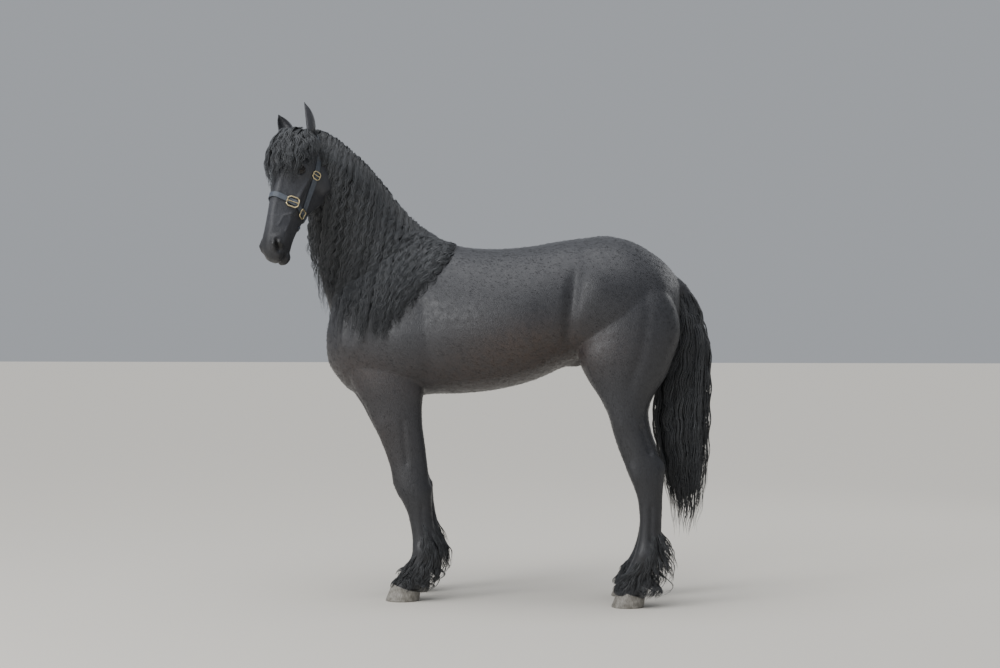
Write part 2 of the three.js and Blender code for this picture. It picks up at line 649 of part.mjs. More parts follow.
// The mane falls on the left of the neck and shoulder. Its outline there, in X and Z.
const MANE_DEPTH = 18;
const MANE_OUTLINE = [
  [-742, 2120], [-660, 2120], [-580, 2070], [-500, 1990], [-430, 1895], [-365, 1805], [-290, 1735],
  [-200, 1685], [-120, 1655], [-120, 1590], [-163, 1480], [-222, 1350], [-285, 1250], [-345, 1175],
  [-430, 1135], [-530, 1150], [-640, 1230], [-712, 1310], [-768, 1430], [-785, 1560], [-772, 1700],
  [-755, 1830], [-745, 1960],
];

function mane() {
  const shape = new THREE.Shape(MANE_OUTLINE.map(([x, z]) => new THREE.Vector2(x, z)));
  const slab = new THREE.ExtrudeGeometry(shape, { depth: 600, bevelEnabled: false });
  slab.rotateX(Math.PI / 2);
  const under = [trunkSolid(MANE_DEPTH), neckSolid(MANE_DEPTH), legSolid("fore", -1, MANE_DEPTH)];
  return union(under).intersect(solidOf(slab));
}

const forelock = () => headBall([118, 78, 0], [118, 26, 62], -2);

const TAIL_HAIR = [
  { x: 905, z: 1372, front: 32, half: 34 },
  { x: 930, z: 1290, front: 50, half: 46 },
  { x: 928, z: 1160, front: 84, half: 58 },
  { x: 904, z: 1000, front: 110, half: 66 },
  { x: 894, z: 800, front: 116, half: 70 },
  { x: 909, z: 600, front: 94, half: 62 },
  { x: 918, z: 430, front: 64, half: 46 },
  { x: 908, z: 310, front: 42, half: 26 },
  { x: 902, z: 262, front: 12, half: 10 },
];

// Feather: from the back of the cannon over the heels.
const FEATHER = {
  fore: [
    { z: 340, front: -240, rear: -196, outer: 176, inner: 134 },
    { z: 260, front: -272, rear: -172, outer: 196, inner: 118 },
    { z: 190, front: -304, rear: -152, outer: 210, inner: 104 },
    { z: 120, front: -330, rear: -156, outer: 208, inner: 106 },
    { z: 72, front: -330, rear: -192, outer: 190, inner: 122 },
    { z: 46, front: -316, rear: -236, outer: 170, inner: 140 },
  ],
  hind: [
    { z: 330, front: 776, rear: 822, outer: 196, inner: 154 },
    { z: 260, front: 752, rear: 860, outer: 214, inner: 138 },
    { z: 190, front: 722, rear: 880, outer: 228, inner: 124 },
    { z: 120, front: 700, rear: 880, outer: 226, inner: 126 },
    { z: 72, front: 700, rear: 850, outer: 208, inner: 142 },
    { z: 46, front: 720, rear: 800, outer: 190, inner: 160 },
  ],
};

function feather(kind, side) {
  const rings = FEATHER[kind].map((s) => legRing({ ...s, turn: 0 }, side, kind, 0));
  return loft(rings);
}

// Nodes
const nodes = new Map();
const [neckPiece, trunkPiece] = parted(flesh, NECK_CUT_POINT, NECK_CUT_NORMAL);
const belowNeckCut = halfSpace(NECK_CUT_POINT, NECK_CUT_NORMAL.clone().negate(), -GAP / 2);
const torsoSpace = wholeBody(GAP).intersect(belowNeckCut);
const hoofSpace = (kind, side) => hoofSolid(kind, side, GAP);
let body = trunkPiece;

for (const { kind, side } of legs) {
  const { cut, top } = FEET[kind];
  const name = (side < 0 ? "left_" : "right_") + kind;
  const [lowX, highX] = kind === "fore" ? [-760, -60] : [380, 1000];
  const low = v3(lowX, side < 0 ? -400 : 0, -10);
  const high = v3(highX, side < 0 ? 0 : 400, top);
  const limb = largest(body.intersect(boxSolid(low, high)));
  body = body.subtract(boxSolid(low, high.clone().add(v3(0, 0, GAP))));
  const [upper, lower] = parted(limb, v3(0, 0, cut), v3(0, 0, 1));
  const [coronet, up] = coronetPlane(kind, side);
  const foot = lower.intersect(halfSpace(coronet, up, GAP / 2));
  nodes.set(name + "_upper_leg", largest(upper));
  nodes.set(name + "_lower_leg", largest(foot.add(feather(kind, side).subtract(hoofSpace(kind, side)))));
  nodes.set(name + "_hoof", hoofSolid(kind, side, 0));
}
nodes.set("torso", largest(body));

const ears = EARS.map((ear) => ({ ...ear, solid: earSolid(ear, 0), space: earSolid(ear, GAP) }));
const overPoll = halfSpace(HEAD_CUT_POINT, HEAD_CUT_NORMAL, GAP / 2);
const behindPoll = halfSpace(HEAD_CUT_POINT, HEAD_CUT_NORMAL.clone().negate(), GAP / 2);
const straps = strapSpace();
const fleshOfHead = carvedHead().intersect(overPoll);
const earSpaces = union(ears.map((ear) => ear.space)).subtract(headSolid(0));
const hairOfHead = forelock().subtract(straps).subtract(earSpaces).subtract(eyeBall(1, EYE_RADIUS + 4));
nodes.set("head", largest(fleshOfHead.add(hairOfHead.intersect(overPoll))));

const headSpace = headSolid(GAP).add(forelock().intersect(overPoll));
const hairOfNeck = mane().subtract(torsoSpace).subtract(beforeStrap());
const underStrap = straps.subtract(pollSolid(-GAP));
const neckWithHair = neckPiece.subtract(underStrap).add(hairOfNeck);
nodes.set("neck", largest(neckWithHair.subtract(union([headSpace, earSpaces])).intersect(behindPoll)));

nodes.set("halter_noseband", noseBand());
nodes.set("halter_crown_strap", crownStrap());
nodes.set("halter_chin_strap", largest(chinStrap()));
nodes.set("halter_nose_buckle", cheekRing(NOSE_BAND_U - 4, -14, 1, 22, 26, 3, 0, 14));
nodes.set("halter_left_ring", cheekRing(NOSE_BAND_U + 12, -84, 1, 17, 17, 3.2, 0.3, 4));
nodes.set("halter_right_ring", cheekRing(NOSE_BAND_U + 12, -84, -1, 17, 17, 3.2, 0.3, 4));
for (const { name, solid } of ears) {
  nodes.set(name, largest(solid.subtract(headSolid(GAP)).subtract(neckSolid(GAP)).subtract(straps)));
}
for (const side of [1, -1]) nodes.set((side > 0 ? "left" : "right") + "_eye", eyeBall(side, EYE_RADIUS));

const hindSpace = union([trunkSolid(GAP), legSolid("hind", 1, GAP), legSolid("hind", -1, GAP)]);
nodes.set("tail", largest(tubeAlong(TAIL, 12, 0).add(tubeAlong(TAIL_HAIR, 12, 0)).subtract(hindSpace)));

const looks = {
  coat: new THREE.MeshStandardMaterial({ color: 0x2b2d31, roughness: 0.6, metalness: 0 }),
  hoof: new THREE.MeshStandardMaterial({ color: 0xb9b5a8, roughness: 0.7, metalness: 0 }),
  eye: new THREE.MeshStandardMaterial({ color: 0x0c0908, roughness: 0.08, metalness: 0 }),
  strap: new THREE.MeshStandardMaterial({ color: 0x565a61, roughness: 0.55, metalness: 0 }),
  brass: new THREE.MeshStandardMaterial({ color: 0xc9b88a, roughness: 0.3, metalness: 1 }),
};

function lookOf(name) {
  if (name.endsWith("hoof")) return looks.hoof;
  if (name.endsWith("eye")) return looks.eye;
  if (name.endsWith("ring") || name.endsWith("buckle")) return looks.brass;
  if (name.startsWith("halter")) return looks.strap;
  return looks.coat;
}

const horse = new THREE.Group();
horse.position.copy(ORIGIN_SHIFT);
for (const [name, solid] of nodes) {
  const mesh = new THREE.Mesh(geometryOf(solid), lookOf(name));
  mesh.name = name;
  horse.add(mesh);
}

export default horse;
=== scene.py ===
# %% [markdown]
# # A Friesian horse
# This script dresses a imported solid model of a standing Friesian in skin, hair, horn and leather. The packed
# nodes give the frame, the size and the places. Here each of them gets a finer piece that stands for it. All
# lengths are metres, +Z is up, the horse faces -X and its left side is towards -Y.

# %% Frame
import math

import bpy
import numpy as np
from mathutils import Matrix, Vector
from mathutils.bvhtree import BVHTree


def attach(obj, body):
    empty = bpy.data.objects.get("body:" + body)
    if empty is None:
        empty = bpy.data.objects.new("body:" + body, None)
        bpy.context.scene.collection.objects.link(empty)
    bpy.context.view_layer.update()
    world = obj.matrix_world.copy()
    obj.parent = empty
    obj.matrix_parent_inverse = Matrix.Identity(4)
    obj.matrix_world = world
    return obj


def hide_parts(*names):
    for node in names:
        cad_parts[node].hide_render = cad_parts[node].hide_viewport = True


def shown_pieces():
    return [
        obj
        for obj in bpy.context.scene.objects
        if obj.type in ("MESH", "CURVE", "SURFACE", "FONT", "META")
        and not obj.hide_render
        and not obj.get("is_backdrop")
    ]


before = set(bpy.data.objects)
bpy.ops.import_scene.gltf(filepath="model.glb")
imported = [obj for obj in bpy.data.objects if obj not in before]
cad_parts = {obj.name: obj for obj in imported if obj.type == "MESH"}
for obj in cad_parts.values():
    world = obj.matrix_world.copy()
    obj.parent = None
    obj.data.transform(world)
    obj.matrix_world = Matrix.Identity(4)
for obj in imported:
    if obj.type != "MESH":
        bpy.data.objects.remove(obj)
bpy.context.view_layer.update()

# %% [markdown]
# ## Numbers that drive the shape
# A body like this is easiest to keep in hand as a few sections along each limb. They are written in
# millimetres in the horse's own frame, with the floor under the middle of the trunk, and one function moves
# them to the model's frame. The skin sits a coat's depth inside the solids.

# %% Units, seeds and small helpers
MM = 0.001
SHIFT = np.array([-58.0, 129.0, 0.0])
COAT = 2.0  # depth of the short coat
rng = np.random.default_rng(7)


def metres(points):
    return (np.asarray(points, dtype=float) + SHIFT) * MM


def millimetres(points):
    return np.asarray(points, dtype=float) / MM - SHIFT


def mix(a, b, t):
    return a + (b - a) * t


def smooth(t):
    t = np.clip(t, 0, 1)
    return t * t * (3 - 2 * t)


def power(value, exponent):
    return np.sign(value) * np.abs(value) ** exponent


def unit(v):
    v = np.asarray(v, dtype=float)
    return v / np.maximum(np.linalg.norm(v, axis=-1, keepdims=True), 1e-9)


def curve(table, at):
    """Rows of a table at any place along it, by a smooth curve through each column."""
    table = np.asarray(table, dtype=float)
    at = np.atleast_1d(at)
    last = len(table) - 1
    i = np.clip(np.floor(at).astype(int), 0, last - 1)
    t = (at - i)[:, None]
    p0, p1 = table[np.clip(i - 1, 0, last)], table[i]
    p2, p3 = table[i + 1], table[np.clip(i + 2, 0, last)]
    m1, m2 = (p2 - p0) / 2, (p3 - p1) / 2
    rise = p2 - p1
    return (((m1 + m2 - 2 * rise) * t + 3 * rise - 2 * m1 - m2) * t + m1) * t + p1


def refined(table, steps):
    return curve(table, np.linspace(0, len(table) - 1, (len(table) - 1) * steps + 1))


print("metres of the origin:", metres([0, 0, 0]))

# %% [markdown]
# ## Meshes from arrays
# Blender builds a mesh from points and faces. Adding them one by one is slow, so arrays fill the mesh in one
# go, which matters later when there is a lot of hair.


# %% Mesh from arrays
def mesh_from(name, points, quads=(), tris=()):
    quads = np.asarray(quads, dtype=np.int32).reshape(-1, 4)
    tris = np.asarray(tris, dtype=np.int32).reshape(-1, 3)
    mesh = bpy.data.meshes.new(name)
    mesh.vertices.add(len(points))
    mesh.vertices.foreach_set("co", np.asarray(points, dtype=np.float32).ravel())
    corners = np.concatenate([quads.ravel(), tris.ravel()])
    starts = np.concatenate([np.arange(len(quads)) * 4, len(quads) * 4 + np.arange(len(tris)) * 3])
    mesh.loops.add(len(corners))
    mesh.loops.foreach_set("vertex_index", corners)
    mesh.polygons.add(len(starts))
    mesh.polygons.foreach_set("loop_start", starts.astype(np.int32))
    mesh.update(calc_edges=True)
    mesh.validate()
    mesh.polygons.foreach_set("use_smooth", np.ones(len(mesh.polygons), dtype=bool))
    thing = bpy.data.objects.new(name, mesh)
    bpy.context.scene.collection.objects.link(thing)
    return thing


print("meshes from the frame:", len(bpy.data.meshes))

# %% [markdown]
# ## From sections to a closed surface
# A loft joins rings of equal length with four sided faces and closes each end with a fan. Several closed
# parts can wait in one list of points and faces until they are made into one mesh.


# %% Lofts
def loft(rings):
    """Points, four sided and three sided faces of a closed surface over rings of points."""
    rings = np.asarray(rings, dtype=float)
    count, sides = rings.shape[:2]
    points = np.concatenate([rings.reshape(-1, 3), [rings[0].mean(0), rings[-1].mean(0)]])
    i = np.arange(sides)
    j = (i + 1) % sides
    quads = []
    for r in range(count - 1):
        quads.append(np.stack([r * sides + i, r * sides + j, (r + 1) * sides + j, (r + 1) * sides + i], 1))
    end = (count - 1) * sides
    first = np.stack([j, i, np.full(sides, count * sides)], 1)
    last = np.stack([end + i, end + j, np.full(sides, count * sides + 1)], 1)
    return points, np.concatenate(quads), np.concatenate([first, last])


def joined(parts):
    points, quads, tris, start = [], [], [], 0
    for p, q, t in parts:
        points.append(p)
        quads.append(q + start)
        tris.append(t + start)
        start += len(p)
    return np.concatenate(points), np.concatenate(quads), np.concatenate(tris)


print("a loft of two squares has", len(loft(np.zeros((2, 4, 3)))[1]), "sides")

# %% [markdown]
# ## Applying a modifier
# A modifier is applied by an operator, as by hand. The operator works on the active object, so everything
# else is deselected first.


# %% Modifiers
def only(thing):
    bpy.ops.object.select_all(action="DESELECT")
    thing.select_set(True)
    bpy.context.view_layer.objects.active = thing
    return thing


def modified(thing, kind, **settings):
    modifier = thing.modifiers.new(kind.lower(), kind)
    for key, value in settings.items():
        setattr(modifier, key, value)
    only(thing)
    bpy.ops.object.modifier_apply(modifier=modifier.name)
    return thing


print("ready to apply modifiers to", bpy.context.scene.name)

# %% [markdown]
# ## Trunk and neck
# The trunk is a row of upright sections from breast to buttock, and the neck a row that leans and bends to
# the left. The breed shows in them: a deep chest, a high set neck, a short back and strong round quarters.

# %% Trunk and neck sections
# x, top, bottom, half width, height of the widest place
TRUNK = [
    (-712, 1270, 1075, 60, 1165), (-690, 1350, 1020, 135, 1165), (-620, 1460, 938, 212, 1170),
    (-520, 1540, 898, 252, 1180), (-380, 1612, 902, 272, 1190), (-240, 1632, 920, 285, 1200),
    (-100, 1594, 924, 306, 1215), (60, 1582, 942, 322, 1225), (220, 1592, 982, 322, 1240),
    (350, 1612, 1040, 304, 1270), (450, 1624, 1075, 296, 1310), (560, 1634, 1080, 300, 1340),
    (670, 1612, 1090, 286, 1335), (770, 1556, 1115, 250, 1310), (845, 1488, 1150, 195, 1290),
    (892, 1412, 1200, 110, 1280),
]
# crest x, y, z, throat x, y, z, half width
NECK = [
    (-100, 0, 1540, -560, 0, 1090, 205), (-222, 0, 1644, -690, -5, 1235, 190),
    (-310, -25, 1700, -732, -42, 1372, 156), (-386, -65, 1780, -750, -90, 1490, 130),
    (-444, -112, 1866, -748, -135, 1600, 112), (-506, -165, 1948, -734, -175, 1712, 102),
    (-584, -218, 2028, -716, -210, 1816, 94), (-664, -262, 2086, -708, -234, 1900, 86),
    (-722, -284, 2100, -718, -250, 1945, 74),
]


def trunk_part(grow, sides=56):
    a = np.arange(sides) / sides * 2 * np.pi
    rise = power(np.sin(a), 0.92)
    rings = []
    for x, top, bottom, half, widest in refined(TRUNK, 5):
        peak = mix(0.02, 0.12, smooth((x + 560) / 120) * smooth((360 - x) / 120))
        across = power(np.cos(a), 0.86) * (1 - peak * np.maximum(0, rise) ** 2)
        reach = np.where(rise > 0, top - widest, widest - bottom)
        rings.append(np.stack([np.full(sides, x), across * (half + grow), widest + rise * (reach + grow)], 1))
    rings[0][:, 0] -= grow
    rings[-1][:, 0] += grow
    return loft(rings)


def neck_part(grow, sides=48):
    rows = refined(NECK, 5)
    crest, throat, half = rows[:, 0:3], rows[:, 3:6], rows[:, 6]
    up = crest - throat
    depth = np.linalg.norm(up, axis=1)
    up = unit(up)
    middle = (crest + throat) / 2
    side = unit(np.cross(np.gradient(middle, axis=0), up))
    a = np.arange(sides) / sides * 2 * np.pi
    rise = np.sin(a)
    across = power(np.cos(a), 0.9) * (1 - 0.34 * np.maximum(0, rise) ** 1.6)
    rings = []
    for k in range(len(rows)):
        wide = across[:, None] * (half[k] + grow) * side[k]
        tall = power(rise, 0.95)[:, None] * (depth[k] / 2 + grow) * up[k]
        rings.append(middle[k] + wide + tall)
    return loft(rings)


print("trunk points:", len(trunk_part(0)[0]), "neck points:", len(neck_part(0)[0]))

# %% [markdown]
# ## Legs
# A leg is a row of level sections. Their front and rear lines carry the forearm, knee, cannon bone, fetlock
# and pastern. The right legs stand a little ahead of the left ones, so their sections are moved along.

# %% Leg sections
# height, front, rear, distance of the outer and the inner side from the middle plane, turn in degrees
FORELEG = [
    (1180, -600, -330, 222, 100, 0), (1060, -608, -272, 236, 82, 0), (950, -566, -246, 234, 82, 0),
    (870, -516, -252, 222, 92, 0), (790, -480, -250, 212, 102, 0), (700, -438, -238, 203, 108, 0),
    (620, -408, -228, 199, 112, 0), (550, -390, -220, 202, 106, 0), (490, -368, -208, 204, 104, 0),
    (440, -344, -206, 198, 112, 0), (380, -318, -206, 192, 118, 0), (300, -302, -192, 191, 119, 0),
    (245, -298, -174, 197, 113, 2), (205, -302, -168, 202, 108, 3), (165, -322, -190, 200, 110, 4),
    (120, -354, -228, 203, 107, 5), (84, -382, -254, 213, 97, 5), (50, -398, -262, 218, 92, 5),
]
HINDLEG = [
    (1440, 560, 800, 236, 60, 0), (1320, 500, 878, 274, 40, 0), (1200, 462, 902, 288, 28, 0),
    (1090, 452, 872, 290, 28, 0), (1000, 490, 836, 276, 44, 0), (915, 546, 780, 256, 76, 0),
    (840, 584, 756, 244, 98, 0), (760, 607, 768, 236, 110, 0), (690, 630, 794, 231, 118, 0),
    (625, 656, 826, 230, 118, 0), (580, 673, 834, 230, 118, 2), (525, 697, 830, 226, 123, 4),
    (470, 714, 826, 219, 131, 6), (400, 722, 822, 215, 135, 8), (320, 720, 820, 214, 136, 10),
    (255, 708, 828, 220, 130, 14), (212, 694, 828, 224, 126, 17), (165, 670, 796, 223, 127, 18),
    (120, 642, 762, 226, 124, 18), (84, 622, 742, 236, 114, 18), (50, 610, 738, 241, 109, 18),
]
LEGS = {"fore": FORELEG, "hind": HINDLEG}
# how far the right legs stand ahead, high up and at the foot
RIGHT_FORWARD = {"fore": (100, 22), "hind": (20, 40)}


def foot_shift(kind, side, z):
    top, foot = RIGHT_FORWARD[kind]
    ahead = -mix(foot, top, np.clip(z / 900, 0, 1)) * np.clip((1350 - z) / 300, 0, 1)
    return np.where(side < 0, 0.0, ahead)


def leg_ring(row, side, kind, grow, a):
    """Points of a level section at the angles a, where 0 is the back of the leg."""
    z, front, rear, outer, inner, turn = row
    turn = -side * math.radians(turn)
    x = power(np.cos(a), 0.94) * ((rear - front) / 2 + grow)
    y = power(np.sin(a), 0.94) * ((outer - inner) / 2 + grow)
    middle_x = (front + rear) / 2 + foot_shift(kind, side, z)
    middle_y = side * (outer + inner) / 2
    return np.stack([
        middle_x + x * math.cos(turn) - y * math.sin(turn),
        middle_y + x * math.sin(turn) + y * math.cos(turn),
        np.full_like(x, z),
    ], 1)


def leg_part(kind, side, grow, sides=36):
    a = np.arange(sides) / sides * 2 * np.pi
    return loft([leg_ring(row, side, kind, grow, a) for row in refined(LEGS[kind], 4)][::-1])


print("leg points:", len(leg_part("fore", -1, 0)[0]))

# %% [markdown]
# ## Head
# The head has a frame of its own at the poll: u runs down the face, v out of the forehead and w to the left
# cheek. It is turned to the left and bent at the poll. Everything on the head is placed in this frame, so
# that the head could be turned as a whole by changing three angles.

# %% Head frame
POLL = np.array([-764.0, -300.0, 2074.0])
PITCH, YAW, TILT = (math.radians(v) for v in (26, 51, 9))
heading = np.array([-math.cos(YAW), -math.sin(YAW), 0.0])
level_w = np.cross([0, 0, 1], heading)
down_u = heading * math.sin(PITCH) + np.array([0, 0, -math.cos(PITCH)])
AXIS_V = heading * math.cos(PITCH) + np.array([0, 0, math.sin(PITCH)])
AXIS_U = down_u * math.cos(TILT) + level_w * math.sin(TILT)
AXIS_W = level_w * math.cos(TILT) - down_u * math.sin(TILT)
AXES = np.stack([AXIS_U, AXIS_V, AXIS_W])

print("the nose points to", np.round(AXIS_U, 2))

# %% [markdown]
# ## Sections of the head
# A long tapered loft gives the skull, and balls that melt into it give the round jaw, the cheekbone, the
# arch over the eye, the nostril and the chin. Each section is an outline through a few places on the
# forehead, the brow, the cheek and the jaw.

# %% Head sections and balls
# u, forehead line, jaw line, half widths at the brow, the cheek and the jaw, v of the cheek
HEAD = [
    (-18, 44, -90, 30, 56, 30, -32), (15, 66, -138, 54, 80, 46, -28), (70, 79, -186, 70, 94, 62, -18),
    (130, 82, -212, 78, 102, 70, -6), (190, 80, -214, 80, 104, 72, 4), (250, 72, -190, 62, 90, 62, -14),
    (320, 61, -150, 47, 73, 48, -24), (400, 48, -122, 39, 60, 38, -26), (470, 38, -110, 37, 56, 34, -26),
    (530, 30, -110, 39, 60, 34, -26), (572, 15, -106, 37, 58, 34, -30), (600, -6, -92, 28, 46, 26, -38),
    (612, -26, -74, 14, 27, 14, -48),
]


def head_point(u, v, w):
    return POLL + np.stack(np.broadcast_arrays(u, v, w), -1) @ AXES


def head_place(points):
    """u, v and w of points in the horse's frame."""
    return (points - POLL) @ AXES.T


def head_part(grow):
    rings = []
    for u, top, bottom, brow, cheek, jaw, mid in refined(HEAD, 5):
        low_v, high_v = mix(mid, bottom, 0.62), mix(mid, top, 0.62)
        half = [
            (0, top), (brow * 0.62, mix(high_v, top, 0.86)), (brow, high_v), (cheek, mid),
            (mix(cheek, jaw, 0.45), mix(mid, low_v, 0.62)), (jaw, low_v),
            (jaw * 0.55, mix(low_v, bottom, 0.86)), (0, bottom),
        ]
        outline = np.array(half + [(-w, v) for w, v in half[-2:0:-1]], dtype=float)
        laps = np.concatenate([outline[-2:], outline, outline[:3]])
        around = curve(laps, 2 + np.arange(0, len(outline), 0.25))
        away = unit(around - [0, (top + bottom) / 2]) * grow
        rings.append(head_point(u, around[:, 1] + away[:, 1], around[:, 0] + away[:, 0]))
    return loft(rings)


def head_ball(centre, radii, tilt=0.0, columns=28, rows=18):
    a = np.arange(columns) / columns * 2 * np.pi
    t = np.radians(tilt)
    rings = []
    for b in np.linspace(0.02, np.pi - 0.02, rows):
        u = radii[0] * math.sin(b) * np.cos(a)
        v = radii[1] * math.sin(b) * np.sin(a)
        w = radii[2] * math.cos(b)
        rings.append(head_point(
            centre[0] + u * math.cos(t) - v * math.sin(t),
            centre[1] + u * math.sin(t) + v * math.cos(t),
            centre[2] + w,
        ))
    return loft(rings)


def head_parts():
    parts = [head_part(-COAT)]
    for side in (1, -1):
        parts.append(head_ball((150, -112, side * 56), (96, 86, 40), 10))
        parts.append(head_ball((296, -26, side * 50), (78, 16, 26), -2))
        parts.append(head_ball((184, 38, side * 74), (40, 22, 26), -16))
        parts.append(head_ball((552, -12, side * 37), (40, 28, 28), -28))
    parts.append(head_ball((576, -98, 0), (31, 21, 31), 8))
    return parts


print("head parts:", len(head_parts()))

# %% [markdown]
# ## One skin
# Real skin has no seams where a leg meets the trunk. The closed parts are laid through each other and the
# voxel remesh takes their common outside, after which a smoothing pass melts the joints, as flesh does. It is
# quicker and rounder than modelling the joints by hand.

# %% Skin from the joined parts
# x, z, half depth and half width of the bony root of the tail
DOCK = [
    (820, 1440, 30, 27), (868, 1420, 30, 28), (912, 1368, 30, 28), (932, 1290, 26, 24),
    (940, 1210, 12, 12),
]
SKIN_VOXEL = 0.0055


def dock_part():
    rows = refined(DOCK, 4)
    along = unit(np.gradient(rows[:, :2], axis=0))
    a = np.arange(24) / 24 * 2 * np.pi
    rings = []
    for (x, z, deep, half), (dx, dz) in zip(rows, along):
        ring_x = x - dz * np.cos(a) * deep
        ring_z = z + dx * np.cos(a) * deep
        rings.append(np.stack([ring_x, np.sin(a) * half, ring_z], 1))
    return loft(rings)


body_parts = [trunk_part(-COAT), neck_part(-COAT), dock_part()]
for kind in LEGS:
    for side in (-1, 1):
        body_parts.append(leg_part(kind, side, -COAT))

points, quads, tris = joined(body_parts + head_parts())
skin = mesh_from("skin", metres(points), quads, tris)
modified(skin, "REMESH", mode="VOXEL", voxel_size=SKIN_VOXEL)
modified(skin, "SMOOTH", factor=0.5, iterations=9)
print("skin faces:", len(skin.data.polygons))

# %% [markdown]
# ## Muscles, folds and features
# Muscle, bone and tendon show as low swellings and furrows. Each one here is a soft pull or push of the skin
# along its own normal, strongest on a short path and fading away from it, so the whole list reads like notes
# on an anatomy drawing. Displacing by path keeps the surface closed and works on both sides at once.


# %% Swellings and furrows
def mesh_points(thing):
    out = np.empty(len(thing.data.vertices) * 3, dtype=np.float32)
    thing.data.vertices.foreach_get("co", out)
    return out.reshape(-1, 3).astype(float)


def mesh_normals(thing):
    out = np.empty(len(thing.data.vertices) * 3, dtype=np.float32)
    thing.data.vertex_normals.foreach_get("vector", out)
    return out.reshape(-1, 3).astype(float)


def path_distance(places, path):
    """Distance of each place to a path of points."""
    path = np.asarray(path, dtype=float)
    if len(path) == 1:
        return np.linalg.norm(places - path[0], axis=1)
    best = np.full(len(places), 1e9)
    for a, b in zip(path[:-1], path[1:]):
        t = np.clip(((places - a) @ (b - a)) / ((b - a) @ (b - a)), 0, 1)
        best = np.minimum(best, np.linalg.norm(places - (a + t[:, None] * (b - a)), axis=1))
    return best


def shaped(thing, notes):
    """Moves the skin by notes of (space, path, width, height)."""
    place = millimetres(mesh_points(thing))
    normal = mesh_normals(thing)
    spaces = {"body": place, "head": head_place(place)}
    move = np.zeros(len(place))
    for space, path, width, height in notes:
        third = 2 if space == "head" else 1
        both = any(abs(p[third]) > 1e-6 for p in path)
        for side in (-1, 1) if both else (1,):
            line = np.array(path, dtype=float)
            line[:, third] *= side
            if space == "fore" or space == "hind":
                line[:, 0] += foot_shift(space, side, line[:, 2])
            where = spaces["head"] if space == "head" else place
            move += height * np.exp(-((path_distance(where, line) / width) ** 2))
    moved = place + normal * move[:, None]
    thing.data.vertices.foreach_set("co", metres(moved).astype(np.float32).ravel())
    thing.data.update()


print("skin points:", len(mesh_points(skin)))

# %% [markdown]
# ## Notes for the trunk
# Each note names the space its path is in, the path, a width and a height in millimetres. A path away from
# the middle counts for both sides. The flank, the point of the hip, the shoulder and the breast muscles
# carry most of what makes the body look alive.

# %% Notes for the trunk
BODY_NOTES = [
    ("body", [(458, 275, 1560), (446, 300, 1400), (432, 300, 1250), (436, 270, 1120)], 31, -21),  # flank
    ("body", [(494, 230, 1572)], 44, 16),  # point of the hip
    ("body", [(520, 275, 1500), (560, 290, 1400)], 60, 5),
    ("body", [(470, 285, 1090), (480, 285, 1030)], 46, 8),  # stifle
    ("body", [(800, 180, 1440), (846, 190, 1320), (850, 190, 1180), (800, 200, 1030)], 40, 5),  # hamstring
    ("body", [(760, 262, 1420), (772, 284, 1260), (742, 284, 1100), (690, 268, 960)], 22, -6),
    ("body", [(-215, 262, 1310), (-196, 262, 1150), (-205, 230, 1000)], 34, -9),  # behind the shoulder
    ("body", [(-360, 250, 1420), (-470, 262, 1250), (-560, 240, 1130)], 40, 7),  # shoulder blade
    ("body", [(-330, 262, 1180), (-300, 250, 1060)], 70, 8),  # long muscle over the elbow
    ("body", [(-240, 240, 950), (-262, 236, 925)], 18, 8),  # point of the elbow
    ("body", [(-236, 225, 990), (-220, 212, 935)], 8, -5),
    ("body", [(-262, 232, 1000), (-250, 222, 950)], 7, -4),
    ("body", [(-700, 0.0, 1200), (-690, 0.0, 1060), (-640, 0.0, 960)], 24, -14),  # between the breast muscles
    ("body", [(-690, 90, 1180), (-680, 100, 1080)], 60, 9),
    ("body", [(-640, 190, 1310), (-650, 196, 1150)], 16, -7),  # edge of the breast muscle
    ("body", [(-600, 214, 1300), (-606, 216, 1140)], 18, 6),
    ("body", [(430, 0.0, 1060), (480, 0.0, 1066)], 44, 24),  # sheath
    ("body", [(-240, 0.0, 1638), (300, 0.0, 1604), (560, 0.0, 1640)], 26, 3),
    ("body", [(620, 0.0, 1632), (800, 0.0, 1530)], 20, -6),  # cleft of the croup
    ("body", [(300, 200, 1020), (100, 230, 980), (-80, 210, 960)], 36, 3),
]
print("notes for the trunk:", len(BODY_NOTES))

# %% [markdown]
# ## Notes for the legs
# Below the elbow and the stifle there is no fat, so tendons, joints and bones show. The right legs stand
# ahead of the left ones, and the notes move along with them.

# %% Notes for the legs
LEG_NOTES = [
    ("fore", [(-430, 214, 780), (-400, 208, 640)], 34, 6),  # forearm
    ("fore", [(-330, 214, 800), (-316, 204, 620)], 13, -5),
    ("fore", [(-384, 155, 520), (-372, 155, 480)], 34, 7),  # knee
    ("fore", [(-220, 155, 500)], 20, 7),
    ("fore", [(-246, 195, 420), (-240, 195, 290)], 9, -5),  # between the bone and the tendon
    ("fore", [(-216, 155, 400), (-204, 155, 290)], 13, 3),
    ("fore", [(-300, 200, 236), (-200, 200, 226)], 24, 5),  # fetlock
    ("fore", [(-362, 155, 96), (-360, 200, 92)], 26, 3),
    ("hind", [(600, 250, 880), (640, 244, 800)], 36, 6),  # gaskin
    ("hind", [(742, 214, 780), (776, 210, 680)], 14, -9),
    ("hind", [(826, 174, 640), (834, 174, 610)], 20, 9),  # point of the hock
    ("hind", [(700, 225, 600), (712, 222, 560)], 26, 6),
    ("hind", [(780, 212, 440), (776, 212, 290)], 9, -5),
    ("hind", [(814, 175, 440), (812, 175, 290)], 13, 3),
    ("hind", [(720, 216, 236), (800, 220, 226)], 24, 5),
]
print("notes for the legs:", len(LEG_NOTES))

# %% [markdown]
# ## Notes for the head
# The head gets the finest notes: cheekbone, veins, the hollow over the eye, nostrils, lips and chin. They
# are given in u, v and w, and the last smoothing takes the hardness off them.

